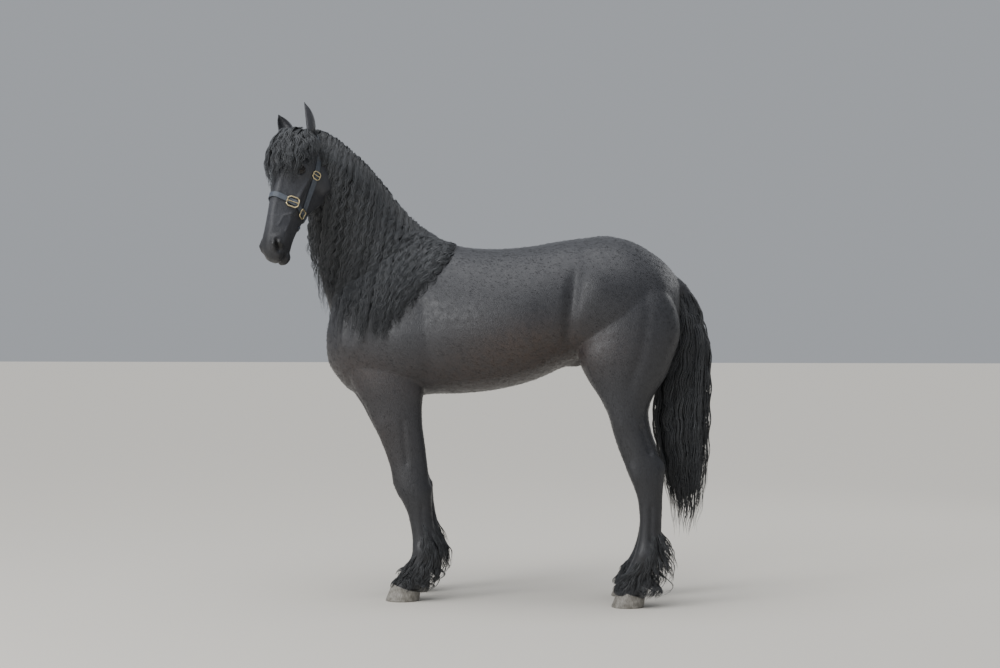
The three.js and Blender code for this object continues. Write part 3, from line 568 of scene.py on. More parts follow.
# %% Notes for the head
HEAD_NOTES = [
    ("head", [(232, -36, 96), (300, -30, 78), (356, -34, 66)], 9, 9),  # cheekbone
    ("head", [(236, -66, 96), (330, -66, 72)], 16, -8),
    ("head", [(372, -40, 62), (400, -26, 56), (440, -34, 52), (486, -28, 54)], 4.5, 4),  # vein
    ("head", [(400, -26, 56), (420, 0, 48), (470, 8, 42)], 4.5, 3.5),
    ("head", [(120, 46, 84), (142, 40, 92)], 20, -12),  # hollow over the eye
    ("head", [(260, 52, 50), (420, 34, 38)], 15, -3.5),
    ("head", [(120, -120, 96), (190, -120, 92)], 58, 6),  # jowl  # side of the nose bone
    ("head", [(300, 62, 0.0), (440, 44, 0.0)], 20, 3),
    ("head", [(80, -150, 84), (150, -190, 76), (225, -150, 84)], 22, 6),  # edge of the jaw
    ("head", [(250, -128, 78), (330, -120, 60)], 22, -5),
    ("head", [(470, -60, 56), (420, -70, 58)], 18, -3),
    ("head", [(546, 2, 56), (564, -8, 58), (574, -26, 52)], 12, -24),  # nostril
    ("head", [(548, 8, 52), (574, 14, 50), (590, -4, 50)], 8, 6),
    ("head", [(545, -8, 66), (548, -28, 62), (566, -34, 60)], 8, 5),
    ("head", [(606, -80, 0.0), (598, -80, 28), (566, -76, 50), (528, -68, 56)], 4.5, -9),  # mouth
    ("head", [(602, -68, 20), (570, -62, 50)], 10, 4),
    ("head", [(594, -98, 12), (560, -92, 40)], 11, 4),
    ("head", [(560, -116, 0.0)], 20, 5),  # chin
    ("head", [(205, 14, 96)], 17, -12),  # eye socket
    ("head", [(176, 18, 92), (192, 33, 95), (214, 31, 95), (234, 16, 90)], 7, 7),  # upper lid
    ("head", [(180, 6, 96), (204, -8, 99), (230, 4, 93)], 7, 5),  # lower lid
]
shaped(skin, BODY_NOTES + LEG_NOTES + HEAD_NOTES)
modified(skin, "SMOOTH", factor=0.4, iterations=2)
print("notes:", len(BODY_NOTES) + len(LEG_NOTES) + len(HEAD_NOTES))

# %% [markdown]
# ## A lighter mesh
# The skin is even everywhere, but only the head and feet need small faces. Decimate collapses the rest. A
# vertex group tells it where to keep its points.

# %% Fewer faces away from the head
place = millimetres(mesh_points(skin))
head_uvw = head_place(place)
near_head = smooth((head_uvw[:, 0] + 20) / 60) * (np.linalg.norm(head_uvw - [300, -40, 0], axis=1) < 380)
near_foot = smooth((330 - place[:, 2]) / 120)
keep = np.clip(np.maximum(near_head, 0.6 * near_foot), 0, 1)
group = skin.vertex_groups.new(name="collapse")
for level in range(5):
    chosen = np.nonzero(np.round(keep * 4).astype(int) == level)[0]
    group.add([int(i) for i in chosen], 1 - level / 4, "REPLACE")
SKIN_TRIANGLES = 150000
triangles = 2 * len(skin.data.polygons)
modified(skin, "DECIMATE", ratio=SKIN_TRIANGLES / triangles, vertex_group="collapse", vertex_group_factor=0.9)
skin.data.polygons.foreach_set("use_smooth", np.ones(len(skin.data.polygons), dtype=bool))
skin.vertex_groups.clear()
print("skin triangles:", triangles, "to", len(skin.data.polygons))

# %% [markdown]
# ## Reading the surface
# Straps, fittings and hair have to lie on the body. A BVH tree answers where a ray first meets a mesh. It is
# quick enough to be asked thousands of times, and it also tells the direction of the surface there.


# %% Where rays meet the skin
def tree_of(parts):
    points, quads, tris = joined(parts)
    return BVHTree.FromPolygons([Vector(p) for p in metres(points)], quads.tolist() + tris.tolist())


def tree_of_object(thing):
    corners = [v.co.copy() for v in thing.data.vertices]
    return BVHTree.FromPolygons(corners, [tuple(p.vertices) for p in thing.data.polygons])


def touch(tree, start, way):
    """The place and normal where a ray in millimetres meets a tree, or None."""
    hit = tree.ray_cast(Vector(metres(start)), Vector(unit(way)))
    if hit[0] is None:
        return None
    return millimetres(np.array(hit[0])), np.array(hit[1])


skin_tree = tree_of_object(skin)
print("breast at", touch(skin_tree, (-1500, 0, 1150), (1, 0, 0))[0].round())

# %% [markdown]
# ## Colour by place
# A black coat is never one colour. It bleaches brown on the belly, flank and lower chest and is darkest on
# the muzzle and lower legs. Its top is painted paler, a painted highlight where the light from above falls,
# and the nostrils get painted shade in their hollows. The same function of place colours skin and hair
# alike, and its result is kept in the mesh as an attribute that the material reads.


# %% Tone of a place
def spot(place, centre, radii):
    return np.exp(-(((place - centre) / radii) ** 2).sum(1))


def tones(place):
    """Brown, dark and pale shares of places: pale is painted highlight, dark partly painted nostril shade."""
    left_right = place * [1, 0, 1]
    brown = 0.9 * spot(left_right, [300, 0, 1130], [300, 1, 110])
    brown += 0.6 * spot(left_right, [0, 0, 1000], [340, 1, 110])
    brown += 0.5 * spot(left_right, [-560, 0, 1030], [190, 1, 110])
    brown += 0.4 * spot(left_right, [-460, 0, 700], [140, 1, 170])
    uvw = head_place(place)
    on_nose = (np.abs(uvw[:, 2]) < 120) & (uvw[:, 1] > -160) & (uvw[:, 0] < 700)
    dark = smooth((uvw[:, 0] - 440) / 130) * on_nose
    dark = np.maximum(dark, 0.5 * smooth((1000 - place[:, 2]) / 500))
    mirrored = np.stack([uvw[:, 0], uvw[:, 1], np.abs(uvw[:, 2])], 1)
    # painted shade: the nostrils are darkened where their hollows lie in shadow
    dark += 1.2 * spot(mirrored, [562, -12, 54], [20, 20, 16])
    # painted highlight: the top of the horse is painted paler, as if lit from above
    pale = smooth((place[:, 2] - 1350) / 280)
    return np.stack([np.clip(brown, 0, 1), np.clip(dark, 0, 2), np.clip(pale, 0, 1), np.ones(len(place))], 1)


def add_tones(thing, place):
    made = tones(place).astype(np.float32)
    layer = thing.data.color_attributes.new("tones", "FLOAT_COLOR", "POINT")
    layer.data.foreach_set("color", made.ravel())
    return thing


add_tones(skin, millimetres(mesh_points(skin)))
print("mean tones:", tones(millimetres(mesh_points(skin))).mean(0).round(2))

# %% [markdown]
# ## Materials
# Colours are picked as sRGB and turned linear by one function, as the shader works in linear light. One small
# function adds a node with its settings and links, so that each material below is a short list of nodes.


# %% Colours and nodes
def linear(code):
    values = [int(code[i:i + 2], 16) / 255 for i in (1, 3, 5)]
    return [v / 12.92 if v <= 0.04045 else ((v + 0.055) / 1.055) ** 2.4 for v in values] + [1.0]


def material(name):
    made = bpy.data.materials.new(name)
    made.use_nodes = True
    made.node_tree.nodes.clear()
    return made, made.node_tree


def add(tree, kind, sockets=None, **settings):
    """Adds a node, sets its properties, and sets or links its inputs by name or number."""
    node = tree.nodes.new(kind)
    for key, value in settings.items():
        setattr(node, key, value)
    for socket, value in (sockets or {}).items():
        if isinstance(value, bpy.types.NodeSocket):
            tree.links.new(value, node.inputs[socket])
        else:
            node.inputs[socket].default_value = value
    return node


def finished(tree, shader):
    add(tree, "ShaderNodeOutputMaterial", {"Surface": shader.outputs[0]})


print("mid grey is", [round(v, 3) for v in linear("#808080")[:3]])

# %% [markdown]
# ## Coat and hair
# A clean black coat shines and shows each change in the lie of the hair. Here a fine noise stretched along
# the hair gives the grain, a coarse one the mottling, and both drive colour, bump and gloss. Long hair uses
# the same recipe with less bump, since its strands are real geometry.


# %% Coat and hair
def coat_material(name, base, brown, bump, grain, gloss):
    """Short coat or long hair: a dark base with brown, dark and pale places and fine streaks."""
    made, tree = material(name)
    at = add(tree, "ShaderNodeTexCoord").outputs["Object"]
    tone = add(tree, "ShaderNodeVertexColor", layer_name="tones")
    parts = add(tree, "ShaderNodeSeparateColor", {"Color": tone.outputs["Color"]})
    streak = add(tree, "ShaderNodeMapping", {"Vector": at, "Scale": (1.0, 1.6, 0.45)})
    fine = add(tree, "ShaderNodeTexNoise", {"Vector": streak.outputs[0], "Scale": grain, "Detail": 3.0})
    mottle = add(tree, "ShaderNodeTexNoise", {"Vector": at, "Scale": 38.0, "Detail": 4.0, "Roughness": 0.6})
    warm = add(tree, "ShaderNodeMath", {0: parts.outputs[0], 1: mottle.outputs[0]}, operation="MULTIPLY")
    both = {0: warm.outputs[0], 6: linear(base), 7: linear(brown)}
    colour = add(tree, "ShaderNodeMix", both, data_type="RGBA")
    lit = add(tree, "ShaderNodeMapRange", {0: fine.outputs[0], 1: 0.3, 2: 0.7, 3: 0.72, 4: 1.3})
    # painted highlight: the pale share brightens the top of the horse and of its hair
    pale = add(tree, "ShaderNodeMath", {0: parts.outputs[2], 1: 0.4, 2: 1.0}, operation="MULTIPLY_ADD")
    # the dark share darkens muzzle and lower legs, and paints shade into the nostrils
    deep = add(tree, "ShaderNodeMath", {0: parts.outputs[1], 1: -0.52, 2: 1.0}, operation="MULTIPLY_ADD")
    level = add(tree, "ShaderNodeMath", {0: pale.outputs[0], 1: deep.outputs[0]}, operation="MULTIPLY")
    level = add(tree, "ShaderNodeMath", {0: level.outputs[0], 1: lit.outputs[0]}, operation="MULTIPLY")
    shade = add(tree, "ShaderNodeVectorMath", {0: colour.outputs[2], 3: level.outputs[0]}, operation="SCALE")
    rough = {0: mottle.outputs[0], 1: 0.4, 2: fine.outputs[0]}
    uneven = add(tree, "ShaderNodeMath", rough, operation="MULTIPLY_ADD")
    relief = add(tree, "ShaderNodeBump", {"Height": uneven.outputs[0], "Strength": 0.9, "Distance": bump})
    span = {0: mottle.outputs[0], 1: 0.35, 2: 0.65, 3: gloss - 0.06, 4: gloss + 0.1}
    dull = add(tree, "ShaderNodeMapRange", span)
    shader = add(tree, "ShaderNodeBsdfPrincipled", {
        "Base Color": shade.outputs[0],
        "Roughness": dull.outputs[0],
        "Specular IOR Level": 0.45,
        "Sheen Weight": 0.06,
        "Sheen Roughness": 0.4,
        "Normal": relief.outputs[0],
    })
    finished(tree, shader)
    return made


coat = coat_material("short black coat", "#2a2b2f", "#46372e", 0.0013, 260.0, 0.44)
long_hair = coat_material("long black hair", "#2f3134", "#43332a", 0.0004, 200.0, 0.44)
print("made", coat.name, "and", long_hair.name)

# %% [markdown]
# ## Horn, eye, leather, brass and bare skin
# Horn has growth rings across and fine tubes down its wall. Leather has a pebbled grain from Voronoi cells,
# brass a haze of small scratches that only changes its roughness, and bare skin shows pores.


# %% Horn, eye, leather and brass
def horn_material():
    made, tree = material("hoof horn")
    at = add(tree, "ShaderNodeTexCoord").outputs["Object"]
    growth = {"Vector": at, "Scale": 26.0, "Distortion": 1.2}
    rings = add(tree, "ShaderNodeTexWave", growth, bands_direction="Z")
    dirt = add(tree, "ShaderNodeTexNoise", {"Vector": at, "Scale": 45.0, "Detail": 5.0})
    streak = add(tree, "ShaderNodeMapping", {"Vector": at, "Scale": (1.0, 1.0, 0.12)})
    tubes = add(tree, "ShaderNodeTexNoise", {"Vector": streak.outputs[0], "Scale": 420.0})
    mixed = add(tree, "ShaderNodeMath", {0: dirt.outputs[0], 1: tubes.outputs[0]}, operation="MULTIPLY")
    share = add(tree, "ShaderNodeMapRange", {0: mixed.outputs[0], 1: 0.12, 2: 0.4})
    colour = add(tree, "ShaderNodeMix", {0: share.outputs[0], 6: linear("#56524a"), 7: linear("#918e88")},
                 data_type="RGBA")
    height = add(tree, "ShaderNodeMath", {0: rings.outputs[1], 1: 0.5, 2: tubes.outputs[0]},
                 operation="MULTIPLY_ADD")
    relief = add(tree, "ShaderNodeBump", {"Height": height.outputs[0], "Strength": 0.5, "Distance": 0.0012})
    finished(tree, add(tree, "ShaderNodeBsdfPrincipled", {
        "Base Color": colour.outputs[2], "Roughness": 0.55, "Normal": relief.outputs[0]}))
    return made


def eye_material():
    made, tree = material("wet eye")
    finished(tree, add(tree, "ShaderNodeBsdfPrincipled", {
        "Base Color": linear("#120b08"), "Roughness": 0.12, "Specular IOR Level": 0.3, "Coat Weight": 0.25}))
    return made


def leather_material():
    made, tree = material("halter leather")
    at = add(tree, "ShaderNodeTexCoord").outputs["Object"]
    grain = add(tree, "ShaderNodeTexVoronoi", {"Vector": at, "Scale": 900.0}, feature="SMOOTH_F1")
    wear = add(tree, "ShaderNodeTexNoise", {"Vector": at, "Scale": 60.0, "Detail": 4.0})
    colour = add(tree, "ShaderNodeMix", {0: wear.outputs[0], 6: linear("#2b2f35"), 7: linear("#565d68")},
                 data_type="RGBA")
    relief = add(tree, "ShaderNodeBump", {"Height": grain.outputs[0], "Strength": 0.3, "Distance": 0.0006})
    finished(tree, add(tree, "ShaderNodeBsdfPrincipled", {
        "Base Color": colour.outputs[2], "Roughness": 0.5, "Normal": relief.outputs[0]}))
    return made


def brass_material():
    made, tree = material("pale brass")
    at = add(tree, "ShaderNodeTexCoord").outputs["Object"]
    haze = add(tree, "ShaderNodeTexNoise", {"Vector": at, "Scale": 240.0, "Detail": 3.0})
    rough = add(tree, "ShaderNodeMapRange", {0: haze.outputs[0], 3: 0.18, 4: 0.4})
    finished(tree, add(tree, "ShaderNodeBsdfPrincipled", {
        "Base Color": linear("#d3c39a"), "Metallic": 1.0, "Roughness": rough.outputs[0]}))
    return made


def skin_material():
    made, tree = material("bare dark skin")
    at = add(tree, "ShaderNodeTexCoord").outputs["Object"]
    pores = add(tree, "ShaderNodeTexNoise", {"Vector": at, "Scale": 500.0, "Detail": 2.0})
    relief = add(tree, "ShaderNodeBump", {"Height": pores.outputs[0], "Strength": 0.3, "Distance": 0.0008})
    finished(tree, add(tree, "ShaderNodeBsdfPrincipled", {
        "Base Color": linear("#1c1a1a"), "Roughness": 0.45, "Normal": relief.outputs[0]}))
    return made


horn, wet, leather, brass = horn_material(), eye_material(), leather_material(), brass_material()
bare = skin_material()
print("materials:", len(bpy.data.materials))

# %% [markdown]
# ## Which piece stands for which node
# Every piece gets its material and rides on a body, and the imported nodes it stands for are hidden. The
# horse is one stiff body, so everything rides on the root.


# %% Declaring a piece
def declared(thing, look, slot, *nodes):
    thing.data.materials.clear()
    thing.data.materials.append(look)
    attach(thing, "root")
    if nodes:
        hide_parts(*nodes)
    return thing


SIDES = {"left": -1, "right": 1}
flesh_nodes = ["torso", "neck", "head", "tail"]
flesh_nodes += [f"{s}_{k}_{part}_leg" for s in SIDES for k in LEGS for part in ("upper", "lower")]
declared(skin, coat, "coat", *flesh_nodes)
print("the skin stands for", len(flesh_nodes), "nodes")

# %% [markdown]
# ## Hooves
# A hoof is a short cone of horn, steeper at the heel, cut off at a slant where the hair begins. It starts
# as a cylinder whose upright edges are subdivided into many rings. Each ring then gets the outline of the
# hoof at its height, stepping in and out a little for the rings of growth, and bisect cuts the top along
# the coronet.

# %% Four hooves
# x at the toe and the heel, outer and inner side, turn in degrees
HOOF = {"fore": (-420, -268, 227, 83, 5), "hind": (600, 742, 246, 104, 18)}
CORONET = (92, 42)  # height at the toe and at the heel
HOOF_TOP = 104
HOOF_RINGS = 38
TOE_SLOPE = 0.42
WALL_SLOPE = 0.12


def ringed_cylinder(name):
    """A cylinder of radius 1 from height 0 to HOOF_TOP with rings of points up its wall."""
    bpy.ops.object.select_all(action="DESELECT")
    bpy.ops.mesh.primitive_cylinder_add(vertices=56, radius=1, depth=HOOF_TOP, end_fill_type="TRIFAN")
    thing = bpy.context.object
    thing.name = name
    mesh = thing.data
    bpy.ops.object.mode_set(mode="EDIT")
    bpy.ops.mesh.select_mode(type="EDGE")
    bpy.ops.mesh.select_all(action="DESELECT")
    bpy.ops.object.mode_set(mode="OBJECT")
    for edge in mesh.edges:
        low_end, high_end = (mesh.vertices[k].co.z for k in edge.vertices)
        edge.select = abs(high_end - low_end) > HOOF_TOP / 2
    bpy.ops.object.mode_set(mode="EDIT")
    bpy.ops.mesh.subdivide(number_cuts=HOOF_RINGS)
    bpy.ops.mesh.select_mode(type="VERT")
    bpy.ops.object.mode_set(mode="OBJECT")
    bpy.ops.object.shade_smooth()
    return thing


def hoof(kind, name, side):
    toe, heel, outer, inner, turn = HOOF[kind]
    thing = ringed_cylinder(name)
    local = mesh_points(thing)
    height = np.round(local[:, 2] + HOOF_TOP / 2, 3)
    on_wall = np.linalg.norm(local[:, :2], axis=1) > 0.5
    shaped_points = np.zeros_like(local)
    for z in np.unique(height):
        growth = 0.5 * math.sin(z / 6.5 * 2 * math.pi) + 0.9 * math.sin(z / 21)
        edge = -1.5 * max(0.0, 1 - z / 3)
        sides = (outer - z * WALL_SLOPE, inner + z * WALL_SLOPE)
        row = (z, toe + z * TOE_SLOPE, heel + z * WALL_SLOPE, *sides, turn)
        ring_here = (height == z) & on_wall
        angle = np.arctan2(local[ring_here, 1], local[ring_here, 0])
        ring_points = leg_ring(row, side, kind, growth + edge - 0.5, angle)
        shaped_points[ring_here] = ring_points
        shaped_points[(height == z) & ~on_wall] = ring_points.mean(0)
    thing.data.vertices.foreach_set("co", metres(shaped_points).astype(np.float32).ravel())
    shift = float(foot_shift(kind, side, 0))
    middle = Vector(metres(((toe + heel) / 2 + shift, 0, sum(CORONET) / 2)))
    slant = Vector((CORONET[0] - CORONET[1], 0, heel - toe)).normalized()
    bpy.ops.object.mode_set(mode="EDIT")
    bpy.ops.mesh.select_all(action="SELECT")
    bpy.ops.mesh.normals_make_consistent(inside=False)
    bpy.ops.mesh.bisect(plane_co=middle, plane_no=slant, use_fill=True, clear_outer=True)
    bpy.ops.object.mode_set(mode="OBJECT")
    return declared(thing, horn, "hoof_horn", name)


for kind in HOOF:
    for name, side in SIDES.items():
        made = hoof(kind, f"{name}_{kind}_hoof", side)
        print(made.name, "top at", round(max(v.co.z for v in made.data.vertices), 3))

# %% [markdown]
# ## Eyes
# The eye sits deep behind the lids and is nearly black, so a plain ball with a wet shine is enough. Each lid
# is a shell just outside the ball that ends in a curved edge, and the two edges leave the almond between
# them. Further back the shells dip under the skin. Solidify gives them their thickness.

# %% Two eyes
EYE = (205, 12, 86)
EYE_RADIUS = 19.5
LID = 21.5


def lid(centre, out, up, along, upper):
    """Half of a ball's skin whose free edge is one side of the almond."""
    rows = []
    for az in np.radians(np.linspace(-78, 78, 33)):
        open_share = math.sqrt(max(0.0, 1 - (az / math.radians(62)) ** 2))
        edge = (29 if upper else -25) * open_share
        row = []
        for k in np.linspace(0, 1, 9):
            el = math.radians(mix(edge, 80 if upper else -80, k))
            way = math.cos(az) * (math.cos(el) * out + math.sin(el) * up) + math.sin(az) * along
            row.append(centre + way * (LID - 5 * smooth((k - 0.4) / 0.6)))
        rows.append(row)
    rows = np.array(rows)
    i, j = np.meshgrid(np.arange(32), np.arange(8), indexing="ij")
    quads = np.stack([i * 9 + j, (i + 1) * 9 + j, (i + 1) * 9 + j + 1, i * 9 + j + 1], -1).reshape(-1, 4)
    return rows.reshape(-1, 3), quads, np.zeros((0, 3), dtype=int)


for name, side in (("left", 1), ("right", -1)):
    centre = head_point(EYE[0], EYE[1], side * EYE[2])
    bpy.ops.object.select_all(action="DESELECT")
    bpy.ops.mesh.primitive_uv_sphere_add(
        segments=48, ring_count=32, radius=EYE_RADIUS * MM, location=metres(centre))
    eye = bpy.context.object
    eye.name = f"{name}_eye"
    bpy.ops.object.transform_apply(location=True, rotation=False, scale=False)
    bpy.ops.object.shade_smooth()
    declared(eye, wet, "eye", f"{name}_eye")
    out = unit(AXIS_W * side + AXIS_V * 0.25 + AXIS_U * 0.1)
    up = AXIS_V * 0.85 - AXIS_U * 0.45
    up = unit(up - out * (up @ out))
    lids = joined([lid(centre, out, up, np.cross(out, up), upper) for upper in (True, False)])
    rims = mesh_from(f"{name}_eyelids", metres(lids[0]), lids[1], lids[2])
    modified(rims, "SOLIDIFY", thickness=0.002, offset=0.0)
    modified(rims, "SUBSURF", levels=1)
    declared(rims, bare, "coat", "head")
    print(eye.name, "at", [round(v) for v in centre])

# %% [markdown]
# ## Ears
# A horse's ear is a leaf rolled into a cup, open at the front with a pointed tip that curls in. Crescent
# rings, lofted from base to tip, give both the outer and the inner face with a real thickness.

# %% Two ears
EAR_LENGTH = 128
EAR_HALF = 34
EAR_OUTLINE = [(0.8,), (0.98,), (1.04,), (1.02,), (0.88,), (0.56,), (0.06,)]
# side, lean to the side, lean forward, way of the opening in v and w, distance from the middle
EARS = {"left_ear": (1, 0.06, 0.6, 0.85, -0.55, 64), "right_ear": (-1, 0.3, 0.4, 0.75, 0.75, 88)}


def ear_frame(side, lean, forward, open_v, open_w, apart):
    root = head_point(4, 26, side * apart)
    up = unit(-AXIS_U + AXIS_W * side * lean + AXIS_V * forward)
    opening = AXIS_V * open_v + AXIS_W * open_w
    opening = unit(opening - up * (opening @ up))
    return root, up, opening, unit(np.cross(up, opening))


def ear(name):
    side = EARS[name][0]
    root, up, opening, across = ear_frame(*EARS[name])
    a = np.linspace(0, np.pi, 22)[:, None]
    rings = []
    for t in np.linspace(0, 1, 30):
        tip = smooth((t - 0.93) / 0.07)
        width = EAR_HALF * float(curve(EAR_OUTLINE, t * 6)[0, 0])
        wall = mix(10, 3, smooth(t)) * mix(1, 0.6, tip)
        cup = width * mix(0.3, 1.1, smooth(t * 3))
        centre = root + up * mix(-36, EAR_LENGTH, t)
        centre = centre + across * side * (12 * t * t - 10 * math.sin(math.pi * t))
        inside = 1 - min(wall / max(width, 0.1), 0.7)
        outer = centre - np.cos(a) * width * across - np.sin(a) * cup * opening
        inner = centre - np.cos(a) * width * inside * across
        inner = inner + (wall * 0.25 - np.sin(a) * max(cup - wall, 0.5)) * opening
        rings.append(np.concatenate([outer, inner[::-1]]))
    points, quads, tris = loft(rings)
    thing = mesh_from(name, metres(points), quads, tris)
    modified(thing, "SMOOTH", factor=0.5, iterations=2)
    place = millimetres(mesh_points(thing))
    made = tones(place)
    depth = (place - root) @ opening
    within = np.abs((place - root) @ across) < EAR_HALF * 0.7
    # painted shade: the inside of the cup is darkened where it lies in shadow
    made[:, 1] += 1.5 * smooth((depth + 4) / 14) * within  # darker inside the cup
    layer = thing.data.color_attributes.new("tones", "FLOAT_COLOR", "POINT")
    layer.data.foreach_set("color", made.astype(np.float32).ravel())
    return declared(thing, coat, "coat", name)


for name in EARS:
    print(name, "points:", len(ear(name).data.vertices))

# %% [markdown]
# ## Halter
# The halter is flat leather: a band round the nose, a long strap from its left ring over the poll to the
# right ring, and a short strap under the chin. Each lies in a plane through the head, so rays shot inwards in
# that plane find the skin, and a ribbon laid on the hits gets its thickness from Solidify and soft edges from
# Bevel.

# %% Straps
STRAP = 4.0
STRAP_WIDTH = 25.0


def band(name, bases, outs, width, far, closed=False):
    """A strap in a plane through the head, laid where rays from far away meet the skin on their way to
    the bases. Places and directions are given in u, v and w."""
    bases = np.broadcast_to(np.asarray(bases, dtype=float), np.shape(outs))
    broad = unit(np.cross(outs[len(outs) // 4], outs[len(outs) // 2]))
    rows = []
    for base, out in zip(bases, outs):
        row = []
        for across in np.linspace(-0.5, 0.5, 5):
            at = base + broad * across * width
            found = touch(skin_tree, head_point(*(at + out * far)), -(out @ AXES))
            row.append((head_place(found[0]) - at) @ out + 1.0 if found else np.nan)
        rows.append(row)
    reach = np.array(rows)
    level = np.nanmean(reach, 1)
    level = np.where(np.isnan(level), np.nanmean(level), level)[:, None]
    reach = np.fmax(np.where(np.isnan(reach), level, reach), level)
    for _ in range(3):
        before = np.roll(reach, 1, 0) if closed else np.concatenate([reach[:1], reach[:-1]])
        after = np.roll(reach, -1, 0) if closed else np.concatenate([reach[1:], reach[-1:]])
        reach = 0.5 * reach + 0.25 * (before + after)
    across = np.linspace(-0.5, 0.5, 5)[None, :, None] * width * broad
    places = bases[:, None] + across + reach[:, :, None] * outs[:, None]
    points = metres(head_point(*places.reshape(-1, 3).T))
    count = len(places)
    i, j = np.meshgrid(np.arange(count if closed else count - 1), np.arange(4), indexing="ij")
    n = (i + 1) % count
    quads = np.stack([i * 5 + j, n * 5 + j, n * 5 + j + 1, i * 5 + j + 1], -1).reshape(-1, 4)
    thing = mesh_from(name, points, quads)
    thing.data.update()
    outward = (outs[0] @ AXES) @ np.array(thing.data.polygons[0].normal)
    modified(thing, "SOLIDIFY", thickness=STRAP * MM, offset=1.0 if outward > 0 else -1.0)
    modified(thing, "BEVEL", width=0.0012, segments=2, limit_method="ANGLE")
    return declared(thing, leather, "halter_strap", name)


def fan(way, turn_from, turn_to, steps, closed=False):
    """Directions in the plane of w and of a way given in u, v and w."""
    angles = np.radians(np.linspace(turn_from, turn_to, steps, endpoint=not closed))[:, None]
    return unit(way) * np.cos(angles) + np.array([0.0, 0.0, 1.0]) * np.sin(angles)


print("a fan of three:", fan((0, 1, 0), -90, 90, 3).round(1).tolist())

# %% [markdown]
# ## Three straps
# The noseband goes right round. The long strap is laid with level rays along both cheeks and with a fan of
# rays over the poll, since rays from one point would only graze the cheeks. The chin strap is a short fan
# from below.

# %% Three straps
NOSE_WAY = (-math.sin(math.radians(9)), math.cos(math.radians(9)), 0)
CHEEK_SLOPE = 0.16
CROWN_WAY = (-math.cos(CHEEK_SLOPE), math.sin(CHEEK_SLOPE), 0)
noseband = band("halter_noseband", (352, -40, 0), fan(NOSE_WAY, 0, 360, 96, True), STRAP_WIDTH, 300, True)

# up one cheek, over the poll and down the other cheek
down = np.linspace(356, 70, 40)
cheek = np.stack([down, -58 - (down - 138) * math.tan(CHEEK_SLOPE), 0 * down], 1)
over = fan(CROWN_WAY, 90, -90, 50)
cheek_bases = np.concatenate([cheek, np.tile(cheek[-1], (48, 1)), cheek[::-1]])
leftward = np.tile([0.0, 0.0, 1.0], (40, 1))
cheek_outs = np.concatenate([leftward, over[1:-1], -leftward])
crown = band("halter_crown_strap", cheek_bases, cheek_outs, STRAP_WIDTH, 190)
chin = band("halter_chin_strap", (410, -80, 0), fan((0.3, -1, 0), -52, 52, 40), 15, 110)
print("straps:", noseband.name, crown.name, chin.name)

# %% [markdown]
# ## Rings and buckle
# The straps meet in brass rings. A torus is the natural start. Its points are pushed out towards the corners
# of a square, the more the smaller the corner value is, and a buckle gets a thin cylinder for its bar.


# %% Brass fittings
def seat(u, v, side, reach):
    """A place on the cheek and the axes of a flat thing that lies on it."""
    found = []
    for du, dv in ((reach, 0), (-reach * 0.6, reach * 0.8), (-reach * 0.6, -reach * 0.8), (0, 0)):
        found.append(touch(skin_tree, head_point(u + du, v + dv, side * 300), -AXIS_W * side)[0])
    out = unit(np.cross(found[1] - found[0], found[2] - found[0]))
    out = out * (1 if (out @ AXIS_W) * side > 0 else -1)
    lift = max(p @ out for p in found) - found[3] @ out
    along = unit(AXIS_U - out * (AXIS_U @ out))
    return found[3] + out * lift, along, np.cross(out, along), out


def ring(name, u, v, side, half_u, half_v, wire, corner, tongue=False, node=None):
    at, along, across, out = seat(u, v, side, max(half_u, half_v))
    at = at + out * (STRAP + wire)
    bpy.ops.object.select_all(action="DESELECT")
    bpy.ops.mesh.primitive_torus_add(major_segments=72, minor_segments=14, major_radius=1, minor_radius=0.12)
    thing = bpy.context.object
    thing.name = name
    bpy.ops.object.shade_smooth()
    local = mesh_points(thing)
    radial = np.linalg.norm(local[:, :2], axis=1, keepdims=True)
    flat = local[:, :2] / radial
    square = 1 / np.maximum(np.abs(flat).max(1, keepdims=True), corner)
    wide = flat * square * np.array([half_u, half_v]) + flat * (radial - 1) / 0.12 * wire
    high = local[:, 2:3] / 0.12 * wire
    points = at + wide[:, :1] * along + wide[:, 1:2] * across + high * out
    thing.data.vertices.foreach_set("co", metres(points).astype(np.float32).ravel())
    thing.data.update()
    if tongue:
        bpy.ops.mesh.primitive_cylinder_add(vertices=16, radius=1, depth=2)
        pin = bpy.context.object
        bar = mesh_points(pin)
        body = at + bar[:, 2:3] * half_v * across + bar[:, :1] * 1.8 * along + (bar[:, 1:2] * 1.8 + 2.0) * out
        pin.data.vertices.foreach_set("co", metres(body).astype(np.float32).ravel())
        only(thing)
        pin.select_set(True)
        bpy.ops.object.join()
    return declared(thing, brass, "halter_fittings", *([node] if node else []))


ring("halter_nose_buckle", 348, -14, 1, 22, 26, 3.0, 0.88, True, "halter_nose_buckle")
ring("halter_left_ring", 364, -84, 1, 18, 18, 3.2, 0.82, False, "halter_left_ring")
ring("halter_right_ring", 364, -84, -1, 18, 18, 3.2, 0.82, False, "halter_right_ring")
ring("cheek_buckle", 190, -66, 1, 17, 19, 2.6, 0.9, True)
print("fittings at", [round(v) for v in seat(348, -14, 1, 26)[0]])

# %% [markdown]
# ## Hair as thin locks
# The long hair is built as thousands of thin closed locks. Each follows a path of points and has three sides,
# so it catches light like a strand and still exports as a mesh. Each lock gets a tiny patch in the map
# OFBake at the place of its root, so this first step finds that place: every region of the skin is unrolled
# round its own axis into a box of the map.


